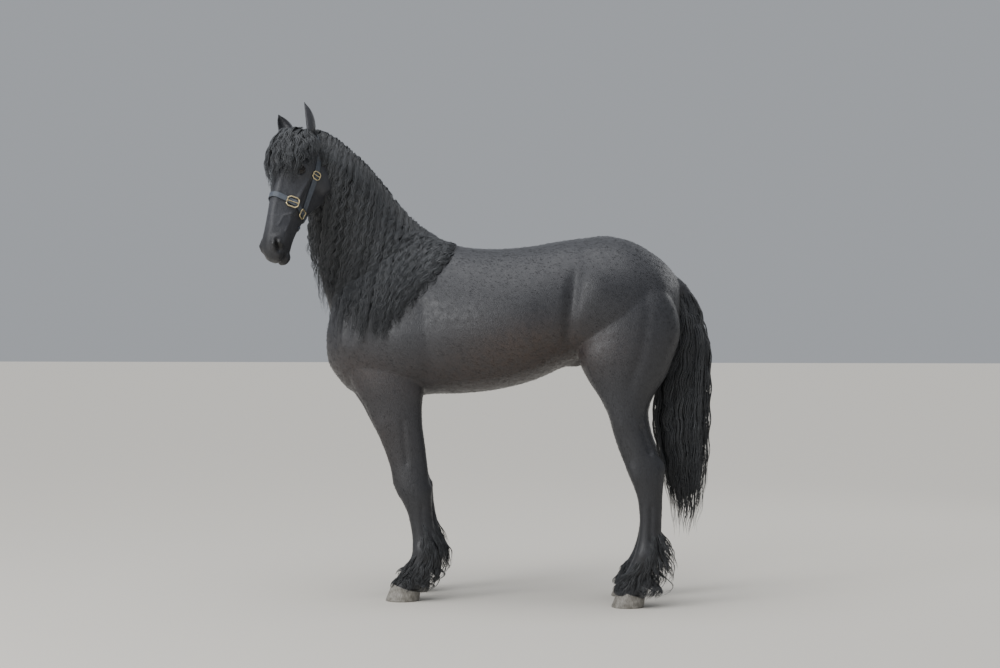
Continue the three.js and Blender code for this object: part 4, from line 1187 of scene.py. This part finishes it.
# %% Flat map of the skin
def skin_map(place):
    """Place of skin points on a flat map. Head, neck, trunk and legs each unroll into a box of their own."""
    uvw = head_place(place)
    on_head = (uvw[:, 0] > 0) & (uvw[:, 0] < 640) & (np.linalg.norm(uvw[:, 1:] - [-40, 0], axis=1) < 190)
    low_leg = place[:, 2] < 880
    on_neck = ~on_head & (place[:, 0] < -180) & (place[:, 2] > 1380)
    round_head = np.arctan2(uvw[:, 2], uvw[:, 1] + 40) / (2 * np.pi) + 0.5
    side = np.arctan2(place[:, 1], place[:, 2] - 1250) / (2 * np.pi) + 0.5
    flat = np.stack([0.02 + 0.5 * np.clip((place[:, 0] + 800) / 1800, 0, 1), 0.52 + 0.44 * side], 1)
    lean = np.clip((place[:, 2] - 1380) / 760, 0, 1)
    turn = np.arctan2(place[:, 1] + 330 * lean, place[:, 0] + 560 + 120 * lean) / (2 * np.pi) + 0.5
    flat[on_neck] = np.stack([0.55 + 0.43 * turn, 0.76 + 0.22 * lean], 1)[on_neck]
    face_map = np.stack([0.55 + 0.43 * round_head, 0.52 + 0.22 * np.clip(uvw[:, 0] / 640, 0, 1)], 1)
    flat[on_head] = face_map[on_head]
    hind = place[:, 0] > 100
    right = place[:, 1] > 0
    middle = np.where(hind, 740, -300)
    spin = np.arctan2(place[:, 1] - np.where(right, 160, -160), place[:, 0] - middle) / (2 * np.pi) + 0.5
    column = 0.02 + 0.24 * (hind.astype(int) * 2 + right.astype(int))
    leg = np.stack([column + 0.2 * spin, 0.02 + 0.46 * np.clip(place[:, 2] / 880, 0, 1)], 1)
    flat[low_leg] = leg[low_leg]
    return flat


print("the middle of the back maps to", skin_map(np.array([[0.0, 0.0, 1590.0]])).round(2))

# %% [markdown]
# ## Locks from arrays
# All locks of a piece are made at once from arrays of shape lock, step, xyz. A ring of three points at each
# step and one point at the tip close each lock. A colour attribute tells the material its tones, with a
# little difference from lock to lock, and short fur may borrow the skin's own normals, so that it shades
# like the coat it stands on.

# %% Locks from arrays
PATCH = 0.003


def locks(name, paths, widths, outward, look=None, depth=0.36, shimmer=0.45, normals=None):
    """Closed three sided locks along paths of shape (lock, step, xyz) in millimetres."""
    count, steps = paths.shape[:2]
    along = unit(np.gradient(paths, axis=1))
    out = unit(outward - along * (outward * along).sum(2, keepdims=True))
    side = np.cross(along, out)
    half = widths[:, :, None] / 2
    rings = np.stack([paths + side * half, paths + out * half * 2 * depth, paths - side * half], 2)
    body = rings[:, :-1]
    points = np.concatenate([body.reshape(count, -1, 3), paths[:, -1:]], 1)
    per = points.shape[1]
    r, i = np.meshgrid(np.arange(steps - 2), np.arange(3), indexing="ij")
    n = (i + 1) % 3
    quad = np.stack([r * 3 + i, (r + 1) * 3 + i, (r + 1) * 3 + n, r * 3 + n], -1).reshape(-1, 4)
    end = (steps - 2) * 3
    tri = np.array([[0, 1, 2], [end, per - 1, end + 1], [end + 1, per - 1, end + 2], [end + 2, per - 1, end]])
    start = (np.arange(count) * per)[:, None, None]
    quads = (quad + start).reshape(-1, 4)
    tris = (tri + start).reshape(-1, 3)
    thing = mesh_from(name, metres(points.reshape(-1, 3)), quads, tris)
    root = skin_map(paths[:, 0])
    corner = np.zeros((per, 2))
    corner[:-1, 0] = np.tile([0, 0.5, 1], steps - 1)
    corner[:-1, 1] = np.repeat(np.arange(steps - 1) / (steps - 1), 3)
    corner[-1] = (0.5, 1)
    spread = (root[:, None] + (corner - 0.5) * PATCH).reshape(-1, 2)
    index = np.empty(len(thing.data.loops), dtype=np.int32)
    thing.data.loops.foreach_get("vertex_index", index)
    layer = thing.data.uv_layers.new(name="OFBake")
    layer.data.foreach_set("uv", spread[index].astype(np.float32).ravel())
    # the hair takes the skin's tones, the painted highlight on top included, and the shimmer varies it by lock
    tone = np.repeat(tones(paths[:, steps // 3]), per, axis=0)
    tone[:, 2] = np.clip(tone[:, 2] + np.repeat(rng.normal(0, shimmer, count), per), 0, 1)
    paint = thing.data.color_attributes.new("tones", "FLOAT_COLOR", "POINT")
    paint.data.foreach_set("color", tone.astype(np.float32).ravel())
    if normals is not None:
        thing.data.normals_split_custom_set_from_vertices(np.repeat(normals, per, axis=0).astype(np.float32))
    return declared(thing, look or long_hair, "coat")


print("a lock of 20 steps has", 18 * 6 + 4, "triangles")

# %% [markdown]
# ## Taper, wave and strands
# Hair gathers in tresses. A tress is a path with a wave that grows from its root. It is split into strands
# that keep their place across it, wander a little and end at different lengths, which frays the tips.


# %% Taper, wave and strands
def taper(count, steps, width, spread=0.25, power_of=2.2):
    """Widths that hold for most of a lock and run out at its tip."""
    t = np.linspace(0, 1, steps)
    shape = (0.55 + 0.45 * smooth(t * 8)) * (1 - 0.9 * t ** power_of)
    return width * rng.uniform(1 - spread, 1 + spread, (count, 1)) * shape


def wavy(paths, outward, period, height, phase, start=120.0):
    """Adds a wave across each lock that grows from its root."""
    step = np.linalg.norm(np.diff(paths, axis=1), axis=2)
    far = np.concatenate([np.zeros((len(paths), 1)), np.cumsum(step, 1)], 1)
    side = unit(np.cross(unit(np.gradient(paths, axis=1)), outward))
    angle = 2 * np.pi * far / period + phase
    grow = height * smooth(far / start)
    across = (grow * np.sin(angle))[:, :, None] * side
    out = (0.5 * grow * np.sin(angle + 1.3))[:, :, None] * unit(outward)
    return paths + across + out


def strands(paths, outward, per, half, shortest=0.72):
    """Splits each tress into strands that keep their place across it and end at different lengths."""
    count, steps = paths.shape[:2]
    side = unit(np.cross(unit(np.gradient(paths, axis=1)), outward))
    place = ((np.arange(per) + rng.random((count, per))) / per * 2 - 1)[:, :, None]
    t = np.linspace(0, 1, steps)
    wander = 0.22 * np.sin(t * rng.uniform(5, 16, (count, per, 1)) + rng.uniform(0, 6.3, (count, per, 1)))
    spread = half * (place + wander * smooth(t * 5)) * mix(0.75, 1.0, np.sin(np.pi * t))
    dome = half * 0.45 * (1 - place ** 2) * smooth(t * 6)
    split = paths[:, None] + spread[..., None] * side[:, None] + dome[..., None] * outward[:, None]
    split = split.reshape(-1, steps, 3)
    at = t * (steps - 1) * rng.uniform(shortest, 1, (count * per, 1))
    i = np.minimum(at.astype(int), steps - 2)
    row = np.arange(count * per)[:, None]
    return mix(split[row, i], split[row, i + 1], (at - i)[..., None]), np.repeat(outward, per, axis=0)


print("helpers for hair:", [helper.__name__ for helper in (taper, wavy, strands)])

# %% [markdown]
# ## Mane
# The mane grows from a strip along the crest, rises a little, turns over to the left and hangs down the neck
# to the shoulder in soft, crimped waves. To keep it on the body, a height map of the left side is read once
# with rays, and gaps beyond the outline take the mean of their neighbours.

# %% Height map of the left side
side_tree = tree_of([trunk_part(0), neck_part(0), leg_part("fore", -1, 0)])
GRID_X = np.arange(-860, 40, 12.0)
GRID_Z = np.arange(900, 2180, 12.0)
side_y = np.full((len(GRID_X), len(GRID_Z)), np.nan)
for i, x in enumerate(GRID_X):
    for j, z in enumerate(GRID_Z):
        found = touch(side_tree, (x, -1500, z), (0, 1, 0))
        if found:
            side_y[i, j] = found[0][1]


def filled(grid):
    """Gaps take the mean of their neighbours, spreading outwards."""
    grid = grid.copy()
    while np.isnan(grid).any():
        around = np.stack([np.roll(grid, s, a) for a in (0, 1) for s in (1, -1)])
        count = (~np.isnan(around)).sum(0)
        mean = np.nansum(around, 0) / np.maximum(count, 1)
        gap = np.isnan(grid) & (count > 0)
        grid[gap] = mean[gap]
    return grid


side_y = filled(side_y)
for _ in range(3):
    side_y = 0.5 * side_y + 0.125 * sum(np.roll(side_y, s, a) for a in (0, 1) for s in (1, -1))


def side_at(x, z):
    """Y of the left side and its outward normal at x and z."""
    fx = np.clip((x - GRID_X[0]) / 12, 0, len(GRID_X) - 1.001)
    fz = np.clip((z - GRID_Z[0]) / 12, 0, len(GRID_Z) - 1.001)
    i, j = fx.astype(int), fz.astype(int)
    tx, tz = fx - i, fz - j
    a, b = side_y[i, j], side_y[i + 1, j]
    c, d = side_y[i, j + 1], side_y[i + 1, j + 1]
    y = mix(mix(a, b, tx), mix(c, d, tx), tz)
    slope_x = mix(b - a, d - c, tz) / 12
    slope_z = mix(c - a, d - b, tx) / 12
    return y, unit(np.stack([slope_x, -np.ones_like(y), slope_z], -1))


print("shoulder at y", round(float(side_at(np.array([-400.0]), np.array([1200.0]))[0][0])))

# %% [markdown]
# ## Tresses of the mane
# Each tress runs from a place on the crest to a place on the line of the tips. Waves of neighbouring tresses
# run almost in step, which is what gives brushed hair its ripples. Three layers lie over each other, the
# lowest wide and close to the neck, the top one fine, and a few loose strands break the outline.

# %% Mane
# crest and tips of the hair on the left, in x and z
CREST = [(-716, 2092), (-664, 2082), (-584, 2024), (-506, 1944), (-444, 1862), (-386, 1776), (-310, 1696),
         (-222, 1640), (-140, 1612)]
TIPS = [(-786, 1560), (-768, 1400), (-712, 1262), (-624, 1170), (-520, 1120), (-424, 1120), (-332, 1210),
        (-240, 1350), (-150, 1510)]


def mane(name, count, per, layer, length, width):
    steps = 48
    s = (np.arange(count) + rng.uniform(0, 1, count)) / count * 8
    rng.shuffle(s)
    rear = smooth((s - 4.8) / 3)
    stray = rng.normal(0, 0.2, count) - 0.9 * rear * rng.random(count)
    start, tip = curve(CREST, s), curve(TIPS, np.clip(s + stray, 0, 8))
    crest_y = curve(NECK, np.interp(start[:, 1], [row[2] for row in NECK], np.arange(len(NECK))))[:, 1]
    reach = length * (1 - 0.2 * rng.random(count) ** 2) * (1 - 0.4 * rear * rng.random(count))
    flat = 1 - 0.85 * rear[:, None]  # the last tresses lie close at the withers
    f = np.linspace(0, 1, steps)[None] * reach[:, None]
    belly = np.sin(np.pi * np.clip(f, 0, 1)) * mix(4, 16, s / 8)[:, None]
    x = mix(start[:, :1], tip[:, :1], f ** 1.15) + belly
    z = mix(start[:, 1:], tip[:, 1:], f)
    y, normal = side_at(x, np.minimum(z, start[:, 1:] - 14))
    lift = (mix(6 + 24 * layer, 5 + 12 * layer, f) + rng.uniform(-2, 7, (count, 1))) * flat
    gone = f * np.linalg.norm(tip - start, axis=1)[:, None]
    radius = (26 + 14 * layer) * flat
    turn = np.clip(gone / (radius * 1.5), 0, 1) * np.pi / 2
    offset = rng.uniform(-16, 22, (count, 1)) * flat
    over_y = crest_y[:, None] + offset * (1 - smooth(gone / 60)) - radius * np.sin(turn)
    over_z = start[:, 1:] - 12 + (12 + radius * 0.45) * np.cos(turn) * smooth(gone / 20)
    blend = smooth((gone - radius * 0.8) / (radius * 1.6))
    path_y = mix(over_y, y + normal[:, :, 1] * lift, blend)
    path_z = mix(over_z - np.maximum(gone - radius * 1.5, 0), z + normal[:, :, 2] * lift, blend)
    path_x = x + normal[:, :, 0] * lift * blend
    paths = np.stack([path_x, path_y, path_z], -1)
    up = np.stack([np.zeros_like(turn), -np.sin(turn), np.cos(turn)], -1)
    outward = unit(mix(up, normal, blend[:, :, None]))
    period = rng.uniform(50, 68, (count, 1))
    phase = (1.6 * np.sin(s * 2.2) + rng.normal(0, 0.7, count))[:, None]
    paths = wavy(paths, outward, period, 8.5 * rng.uniform(0.6, 1.25, (count, 1)), phase)
    paths, outward = strands(paths, outward, per, 13.0 + 6 * rear[:, None, None])
    return locks(name, paths, taper(len(paths), steps, width), outward)


mane("mane_under", 50, 14, 0.0, 0.97, 8.5)
mane("mane_middle", 50, 14, 0.5, 1.0, 6.0)
mane("mane_outer", 50, 14, 1.0, 1.02, 4.6)
mane("mane_loose", 70, 1, 1.25, 1.03, 3.0)
print("mane done")

# %% [markdown]
# ## Forelock
# The forelock grows between the ears and falls over the forehead, fanning out on both sides down to the eyes.
# The head is read once with rays as a distance from a line through its middle, over the place along the
# face and the angle round it, so that the locks can be laid on brow and temples alike.

# %% Distance map of the face
head_only = tree_of([head_part(0)])
AXLE_V = -40  # v of the line through the head that the angles turn about
GRID_U, GRID_T = np.arange(-36, 340, 12.0), np.radians(np.arange(-120, 121, 6.0))


def face_distance(u, t):
    way = np.array([0, math.cos(t), math.sin(t)])
    found = touch(head_only, head_point(*(np.array([u, AXLE_V, 0]) + way * 400)), -(way @ AXES))
    return (head_place(found[0]) - [u, AXLE_V, 0]) @ way if found else np.nan


face = filled(np.array([[face_distance(u, t) for t in GRID_T] for u in GRID_U]))


def face_at(u, t):
    fu = np.clip((u - GRID_U[0]) / 12, 0, len(GRID_U) - 1.001)
    ft = np.clip((t - GRID_T[0]) / math.radians(6), 0, len(GRID_T) - 1.001)
    i, j = fu.astype(int), ft.astype(int)
    tu, tt = fu - i, ft - j
    return mix(mix(face[i, j], face[i + 1, j], tu), mix(face[i, j + 1], face[i + 1, j + 1], tu), tt)


print("brow to axle:", round(float(face_at(np.array([100.0]), np.array([0.0]))[0])), "mm")

# %% [markdown]
# ## Tresses of the forelock
# A tress starts between the ears, bows out over the brow and lies down again towards its tip. Those in the
# middle are the longest. Those at the sides stop above the eyes.


# %% Tresses of the forelock
def forelock(name, count, per, layer, width):
    steps = 30
    across = (np.arange(count) + rng.random(count)) / count * 2 - 1
    rng.shuffle(across)
    aside = smooth((np.abs(across) - 0.5) / 0.3)
    length = mix(290, 165, aside) * rng.uniform(0.72, 1.08, count)
    f = np.linspace(0, 1, steps)[None]
    u = rng.uniform(-26, 22, (count, 1)) + length[:, None] * f
    turn = across[:, None] * np.radians(mix(46, 84, smooth(f * 1.2)))
    bow = np.sin(np.pi * np.clip(f * 0.85 + 0.15, 0, 1))
    lift = (5 + 18 * layer + 14 * layer * rng.random((count, 1))) * bow + 4
    lift = lift * smooth(f * 7) - 5 * (1 - smooth(f * 7))
    radius = face_at(u, turn) + lift
    paths = head_point(u, AXLE_V + radius * np.cos(turn), radius * np.sin(turn))
    outward = np.cos(turn)[..., None] * AXIS_V + np.sin(turn)[..., None] * AXIS_W
    phase = (across * 7 + rng.normal(0, 0.6, count))[:, None]
    period = rng.uniform(48, 70, (count, 1))
    paths = wavy(paths, outward, period, 5.5 * rng.uniform(0.5, 1.2, (count, 1)), phase, 90.0)
    paths, outward = strands(paths, outward, per, 13.0)
    return locks(name, paths, taper(len(paths), steps, width), outward)


forelock("forelock_under", 34, 12, 0.2, 7.5)
forelock("forelock_outer", 34, 12, 1.0, 4.4)
print("forelock done")

# %% [markdown]
# ## Tail
# Tail hair grows all round the dock and falls to the hocks and below. The core of the tail is a tube whose
# size changes with height. Each lock leaves the dock at its own angle and depth and keeps to that place in
# the tube, so the whole hangs together and thins out to the tips.

# %% Tail
# height, middle x, half depth, half width of the whole tail
TAIL = [(1458, 880, 26, 30), (1372, 905, 34, 36), (1290, 930, 50, 46), (1160, 928, 84, 58),
        (1000, 904, 110, 66), (800, 894, 116, 70), (600, 909, 94, 62), (430, 918, 64, 46),
        (310, 908, 42, 30), (230, 900, 26, 20)]


def tail(name, count, per, inner, outer, width):
    steps = 40
    table = np.array(TAIL, dtype=float)[::-1]
    at = rng.uniform(0.25, 3.3, count)
    dock = curve(DOCK, at)
    a = rng.uniform(0, 2 * np.pi, count)
    rho = np.sqrt(rng.uniform(inner ** 2, outer ** 2, count))
    bottom = rng.uniform(255, 470, count) + 130 * rng.random(count) ** 3
    f = np.linspace(0, 1, steps)[None]
    ring_z = dock[:, 1:2] - 8
    z = mix(ring_z, bottom[:, None], f)
    middle, deep, half = (np.interp(z, table[:, 0], table[:, k]) for k in (1, 2, 3))
    hang_x = middle + np.cos(a)[:, None] * deep * rho[:, None]
    hang_y = np.sin(a)[:, None] * half * rho[:, None]
    settle = smooth((ring_z - z) / 190)
    x = mix(dock[:, :1] + np.cos(a)[:, None] * 20, hang_x, settle)
    y = mix(np.sin(a)[:, None] * 20, hang_y, settle)
    rise = 26 * np.sin(np.pi * np.clip((ring_z - z) / 120, 0, 1)) * np.maximum(0, 0.3 + np.cos(a))[:, None]
    paths = np.stack([x + rise * 0.9, y, z + rise * 0.7], -1)
    outward = np.broadcast_to(np.stack([np.cos(a), np.sin(a), np.full(count, 0.05)], 1)[:, None], paths.shape)
    phase = (a * 1.5 + rng.normal(0, 0.9, count))[:, None]
    period = rng.uniform(105, 150, (count, 1))
    paths = wavy(paths, outward, period, 6.5 * rng.uniform(0.4, 1.3, (count, 1)), phase, 260.0)
    paths, outward = strands(paths, outward, per, 21.0)
    return locks(name, paths, taper(len(paths), steps, width, power_of=3.0), outward)


tail("tail_under", 30, 12, 0.2, 0.75, 12.0)
tail("tail_outer", 84, 10, 0.72, 1.05, 6.0)
print("tail done")

# %% [markdown]
# ## Feather
# Feather is the long hair of the lower legs. It starts on the back of the cannon, spreads over the fetlock
# and falls round the pastern over the hoof. Paths run from the leg's own ring to a wider ring below it.

# %% Sections of the feather
# height, front, rear, outer and inner side of the whole feather
FEATHER = {
    "fore": [(46, -400, -222, 222, 88), (72, -396, -184, 222, 88), (120, -376, -150, 220, 92),
             (190, -334, -146, 214, 98), (260, -306, -166, 204, 108), (340, -300, -194, 192, 118)],
    "hind": [(46, 604, 812, 250, 100), (72, 606, 856, 246, 104), (120, 632, 886, 240, 112),
             (190, 676, 886, 236, 116), (260, 706, 866, 226, 126), (340, 722, 826, 212, 138)],
}


def leg_rows(kind, z):
    table = np.array(LEGS[kind], dtype=float)[::-1]
    return np.stack([z] + [np.interp(z, table[:, 0], table[:, k]) for k in range(1, 6)], -1)


def around_leg(rows, side, kind, a, grow):
    """Points on level sections, one section and one angle each."""
    turn = -side * np.radians(rows[..., 5])
    x = np.cos(a) * ((rows[..., 2] - rows[..., 1]) / 2 + grow)
    y = np.sin(a) * ((rows[..., 3] - rows[..., 4]) / 2 + grow)
    middle_x = (rows[..., 1] + rows[..., 2]) / 2 + foot_shift(kind, side, rows[..., 0])
    middle_y = side * (rows[..., 3] + rows[..., 4]) / 2
    across = middle_y + x * np.sin(turn) + y * np.cos(turn)
    return np.stack([middle_x + x * np.cos(turn) - y * np.sin(turn), across, rows[..., 0]], -1)


print("feather sections:", {kind: len(rows) for kind, rows in FEATHER.items()})

# %% [markdown]
# ## Tresses of the feather
# Most tresses start at the back of the cannon bone, where real feather is longest, and fewer and shorter
# ones cover the coronet in front.


# %% Tresses of the feather
def feather(kind, name, side, count, per):
    steps = 14
    a = rng.uniform(-1, 1, count)
    a = np.sign(a) * np.abs(a) ** 1.25 * 2.95
    back = 1 - np.abs(a) / 2.95
    top = mix(165, 345 if kind == "fore" else 335, smooth(back * 1.6))
    z0 = mix(84.0, top, rng.random(count) ** 0.9)
    drop = mix(70, 165, smooth(back * 1.4)) * rng.uniform(0.7, 1.15, count)
    z1 = np.maximum(z0 - drop, rng.uniform(14, 48, count) + 22 * (1 - back))
    f = np.linspace(0, 1, steps)[None]
    z = mix(z0[:, None], z1[:, None], f)
    angle = a[:, None] + 0 * f
    inner = around_leg(leg_rows(kind, np.maximum(z, 52)), side, kind, angle, -5)
    table = np.array(FEATHER[kind], dtype=float)
    rows = np.stack([z] + [np.interp(z, table[:, 0], table[:, k]) for k in range(1, 5)] + [0 * z], -1)
    outer = around_leg(rows, side, kind, angle, 0)
    deep = rng.uniform(0.45, 1.02, (count, 1))
    share = (smooth(f * 1.6) * deep)[:, :, None]
    paths = mix(inner, outer, share)
    paths[:, :, 2] = z
    outward = unit(np.stack([np.cos(angle), np.sin(angle), np.full_like(angle, 0.25)], -1))
    phase = (a * 3 + rng.normal(0, 1.2, count))[:, None]
    period = rng.uniform(55, 85, (count, 1))
    paths = wavy(paths, outward, period, 4.0 * rng.uniform(0.3, 1.2, (count, 1)), phase, 60.0)
    paths, outward = strands(paths, outward, per, 11.0, 0.6)
    return locks(f"{name}_{kind}_feather", paths, taper(len(paths), steps, 4.4), outward)


for kind in FEATHER:
    for name, side in SIDES.items():
        made = feather(kind, name, side, 92, 7)
        print(made.name, "lowest", round(min(v.co.z for v in made.data.vertices), 3))

# %% [markdown]
# ## Short coat
# The short coat lies flat, so on most of the body it is a matter of bump. At the outline it still stands out
# as a soft fringe, on every side. Short, thin tufts spread evenly over the whole skin give that fringe. They
# lie along the body, from head to tail and down the legs.

# %% Short tufts
def tufts(name, count, length, width, chosen):
    mesh = skin.data
    mesh.calc_loop_triangles()
    corners = np.empty(len(mesh.loop_triangles) * 3, dtype=np.int32)
    mesh.loop_triangles.foreach_get("vertices", corners)
    points = millimetres(mesh_points(skin))[corners.reshape(-1, 3)]
    cross = np.cross(points[:, 1] - points[:, 0], points[:, 2] - points[:, 0])
    area = np.linalg.norm(cross, axis=1) * chosen(points.mean(1))
    pick = rng.choice(len(area), count, p=area / area.sum())
    r1, r2 = rng.random((2, count, 1))
    over = r1 + r2 > 1
    r1, r2 = np.where(over, 1 - r1, r1), np.where(over, 1 - r2, r2)
    a, b, c = points[pick].transpose(1, 0, 2)
    root = a + (b - a) * r1 + (c - a) * r2
    normal = unit(cross[pick])
    lie = np.tile([0.86, 0.0, -0.5], (count, 1))
    on_leg = smooth((1000 - root[:, 2:]) / 160)
    lie = mix(lie, np.array([0.1, 0.0, -1.0]), on_leg)
    uvw = head_place(root)
    on_head = ((uvw[:, 0] > 10) & (np.abs(uvw[:, 2]) < 130) & (uvw[:, 0] < 640) & (uvw[:, 1] > -230))[:, None]
    lie = np.where(on_head, AXIS_U, lie) + rng.normal(0, 0.16, (count, 3))
    lie = unit(lie - normal * (lie * normal).sum(1, keepdims=True))
    size = length * rng.uniform(0.7, 1.25, (count, 1)) * np.where(on_head, 0.5, 1.0)
    rise = rng.uniform(0.06, 0.2, (count, 1))
    tip = root + (lie + normal * rise) * size
    middle = root + (lie * 0.5 + normal * (rise * 0.72)) * size
    paths = np.stack([root - normal * 1.2, middle, tip], 1)
    outward = np.broadcast_to(normal[:, None], paths.shape)
    widths = np.stack([np.full(count, 0.8), np.full(count, 1.0), np.full(count, 0.1)], 1)
    return locks(name, paths, widths * width * np.where(on_head, 0.6, 1.0), outward, coat, 0.25, 0.0, normal)


def upper(place):
    return (place[:, 2] > 1000) * 1.0


def lower(place):
    return (place[:, 2] <= 1000) * (place[:, 2] > 110) * 1.0


tufts("coat_body", 13500, 16.0, 2.2, upper)
tufts("coat_legs", 6500, 13.0, 2.0, lower)
print("tufts done")

# %% [markdown]
# ## Room
# A plain pale floor and soft light keep attention on the horse. A wide, soft sun stands for the sky, one
# large area light brightens the near side and a weak one from behind draws the edge of the back.

# %% Floor
bpy.ops.object.select_all(action="DESELECT")
bpy.ops.mesh.primitive_plane_add(size=200, location=(0, 0, 0))
floor = bpy.context.object
floor.name = "floor"
pale, pale_tree = material("pale floor")
matt = {"Base Color": linear("#c9c5bd"), "Roughness": 0.9}
finished(pale_tree, add(pale_tree, "ShaderNodeBsdfPrincipled", matt))
floor.data.materials.append(pale)
floor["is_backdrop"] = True

print("floor is", [round(v) for v in floor.dimensions])

# %% [markdown]
# ## Light
# The world gives an even light from all round. The lamps give form: without them a black horse is a flat
# shape.

# %% Light
world = bpy.data.worlds.new("studio")
bpy.context.scene.world = world
world.use_nodes = True
world.node_tree.nodes["Background"].inputs[0].default_value = linear("#c8ccd2")
world.node_tree.nodes["Background"].inputs[1].default_value = 0.65


def soft_light(name, place, aim, size, power_watts):
    lamp = bpy.data.lights.new(name, "AREA")
    lamp.shape = "RECTANGLE"
    lamp.size, lamp.size_y = size
    lamp.energy = power_watts
    thing = bpy.data.objects.new(name, lamp)
    thing.location = place
    thing.rotation_euler = (Vector(aim) - Vector(place)).to_track_quat("-Z", "Y").to_euler()
    bpy.context.scene.collection.objects.link(thing)
    thing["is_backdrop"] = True
    return thing


sun = bpy.data.objects.new("sky", bpy.data.lights.new("sky", "SUN"))
sun.data.energy = 2.7
sun.data.angle = math.radians(70)
sun.rotation_euler = (math.radians(16), math.radians(-8), 0)
bpy.context.scene.collection.objects.link(sun)
sun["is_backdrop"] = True
soft_light("front", (-4.5, -5.5, 3.2), (-0.3, 0, 1.2), (3, 3), 330)
soft_light("rim", (3.5, 4.0, 3.4), (0.2, 0, 1.4), (3, 2), 35)
print("lights:", len(bpy.data.lights))

# %% [markdown]
# ## Camera
# The camera stands eight metres off at the height of the belly, turned ten degrees, so that the horse shows
# its left side and a little of its chest. The long lens keeps the legs nearly parallel.

# %% Camera
LENS = 63.36
TURN = math.radians(10)
DISTANCE, SIDEWAYS, EYE_HEIGHT = 8.0, 0.0727, 1.15
right_way = np.array([math.cos(TURN), math.sin(TURN), 0])
view_way = np.array([-math.sin(TURN), math.cos(TURN), 0])
camera = bpy.data.objects.new("camera", bpy.data.cameras.new("camera"))
camera.data.lens = LENS
camera.data.sensor_width = 36
camera.location = SIDEWAYS * right_way - DISTANCE * view_way + SHIFT * MM + np.array([0, 0, EYE_HEIGHT])
camera.rotation_euler = (math.radians(90.326), 0, TURN)
bpy.context.scene.collection.objects.link(camera)
bpy.context.scene.camera = camera
print("camera at", [round(v, 2) for v in camera.location])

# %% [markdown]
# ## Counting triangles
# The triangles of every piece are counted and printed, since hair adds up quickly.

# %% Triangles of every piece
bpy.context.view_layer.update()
coat_triangles = 0
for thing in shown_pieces():
    thing.data.calc_loop_triangles()
    print(thing.name, len(thing.data.loop_triangles))
    coat_triangles += len(thing.data.loop_triangles)
print("all triangles:", coat_triangles)
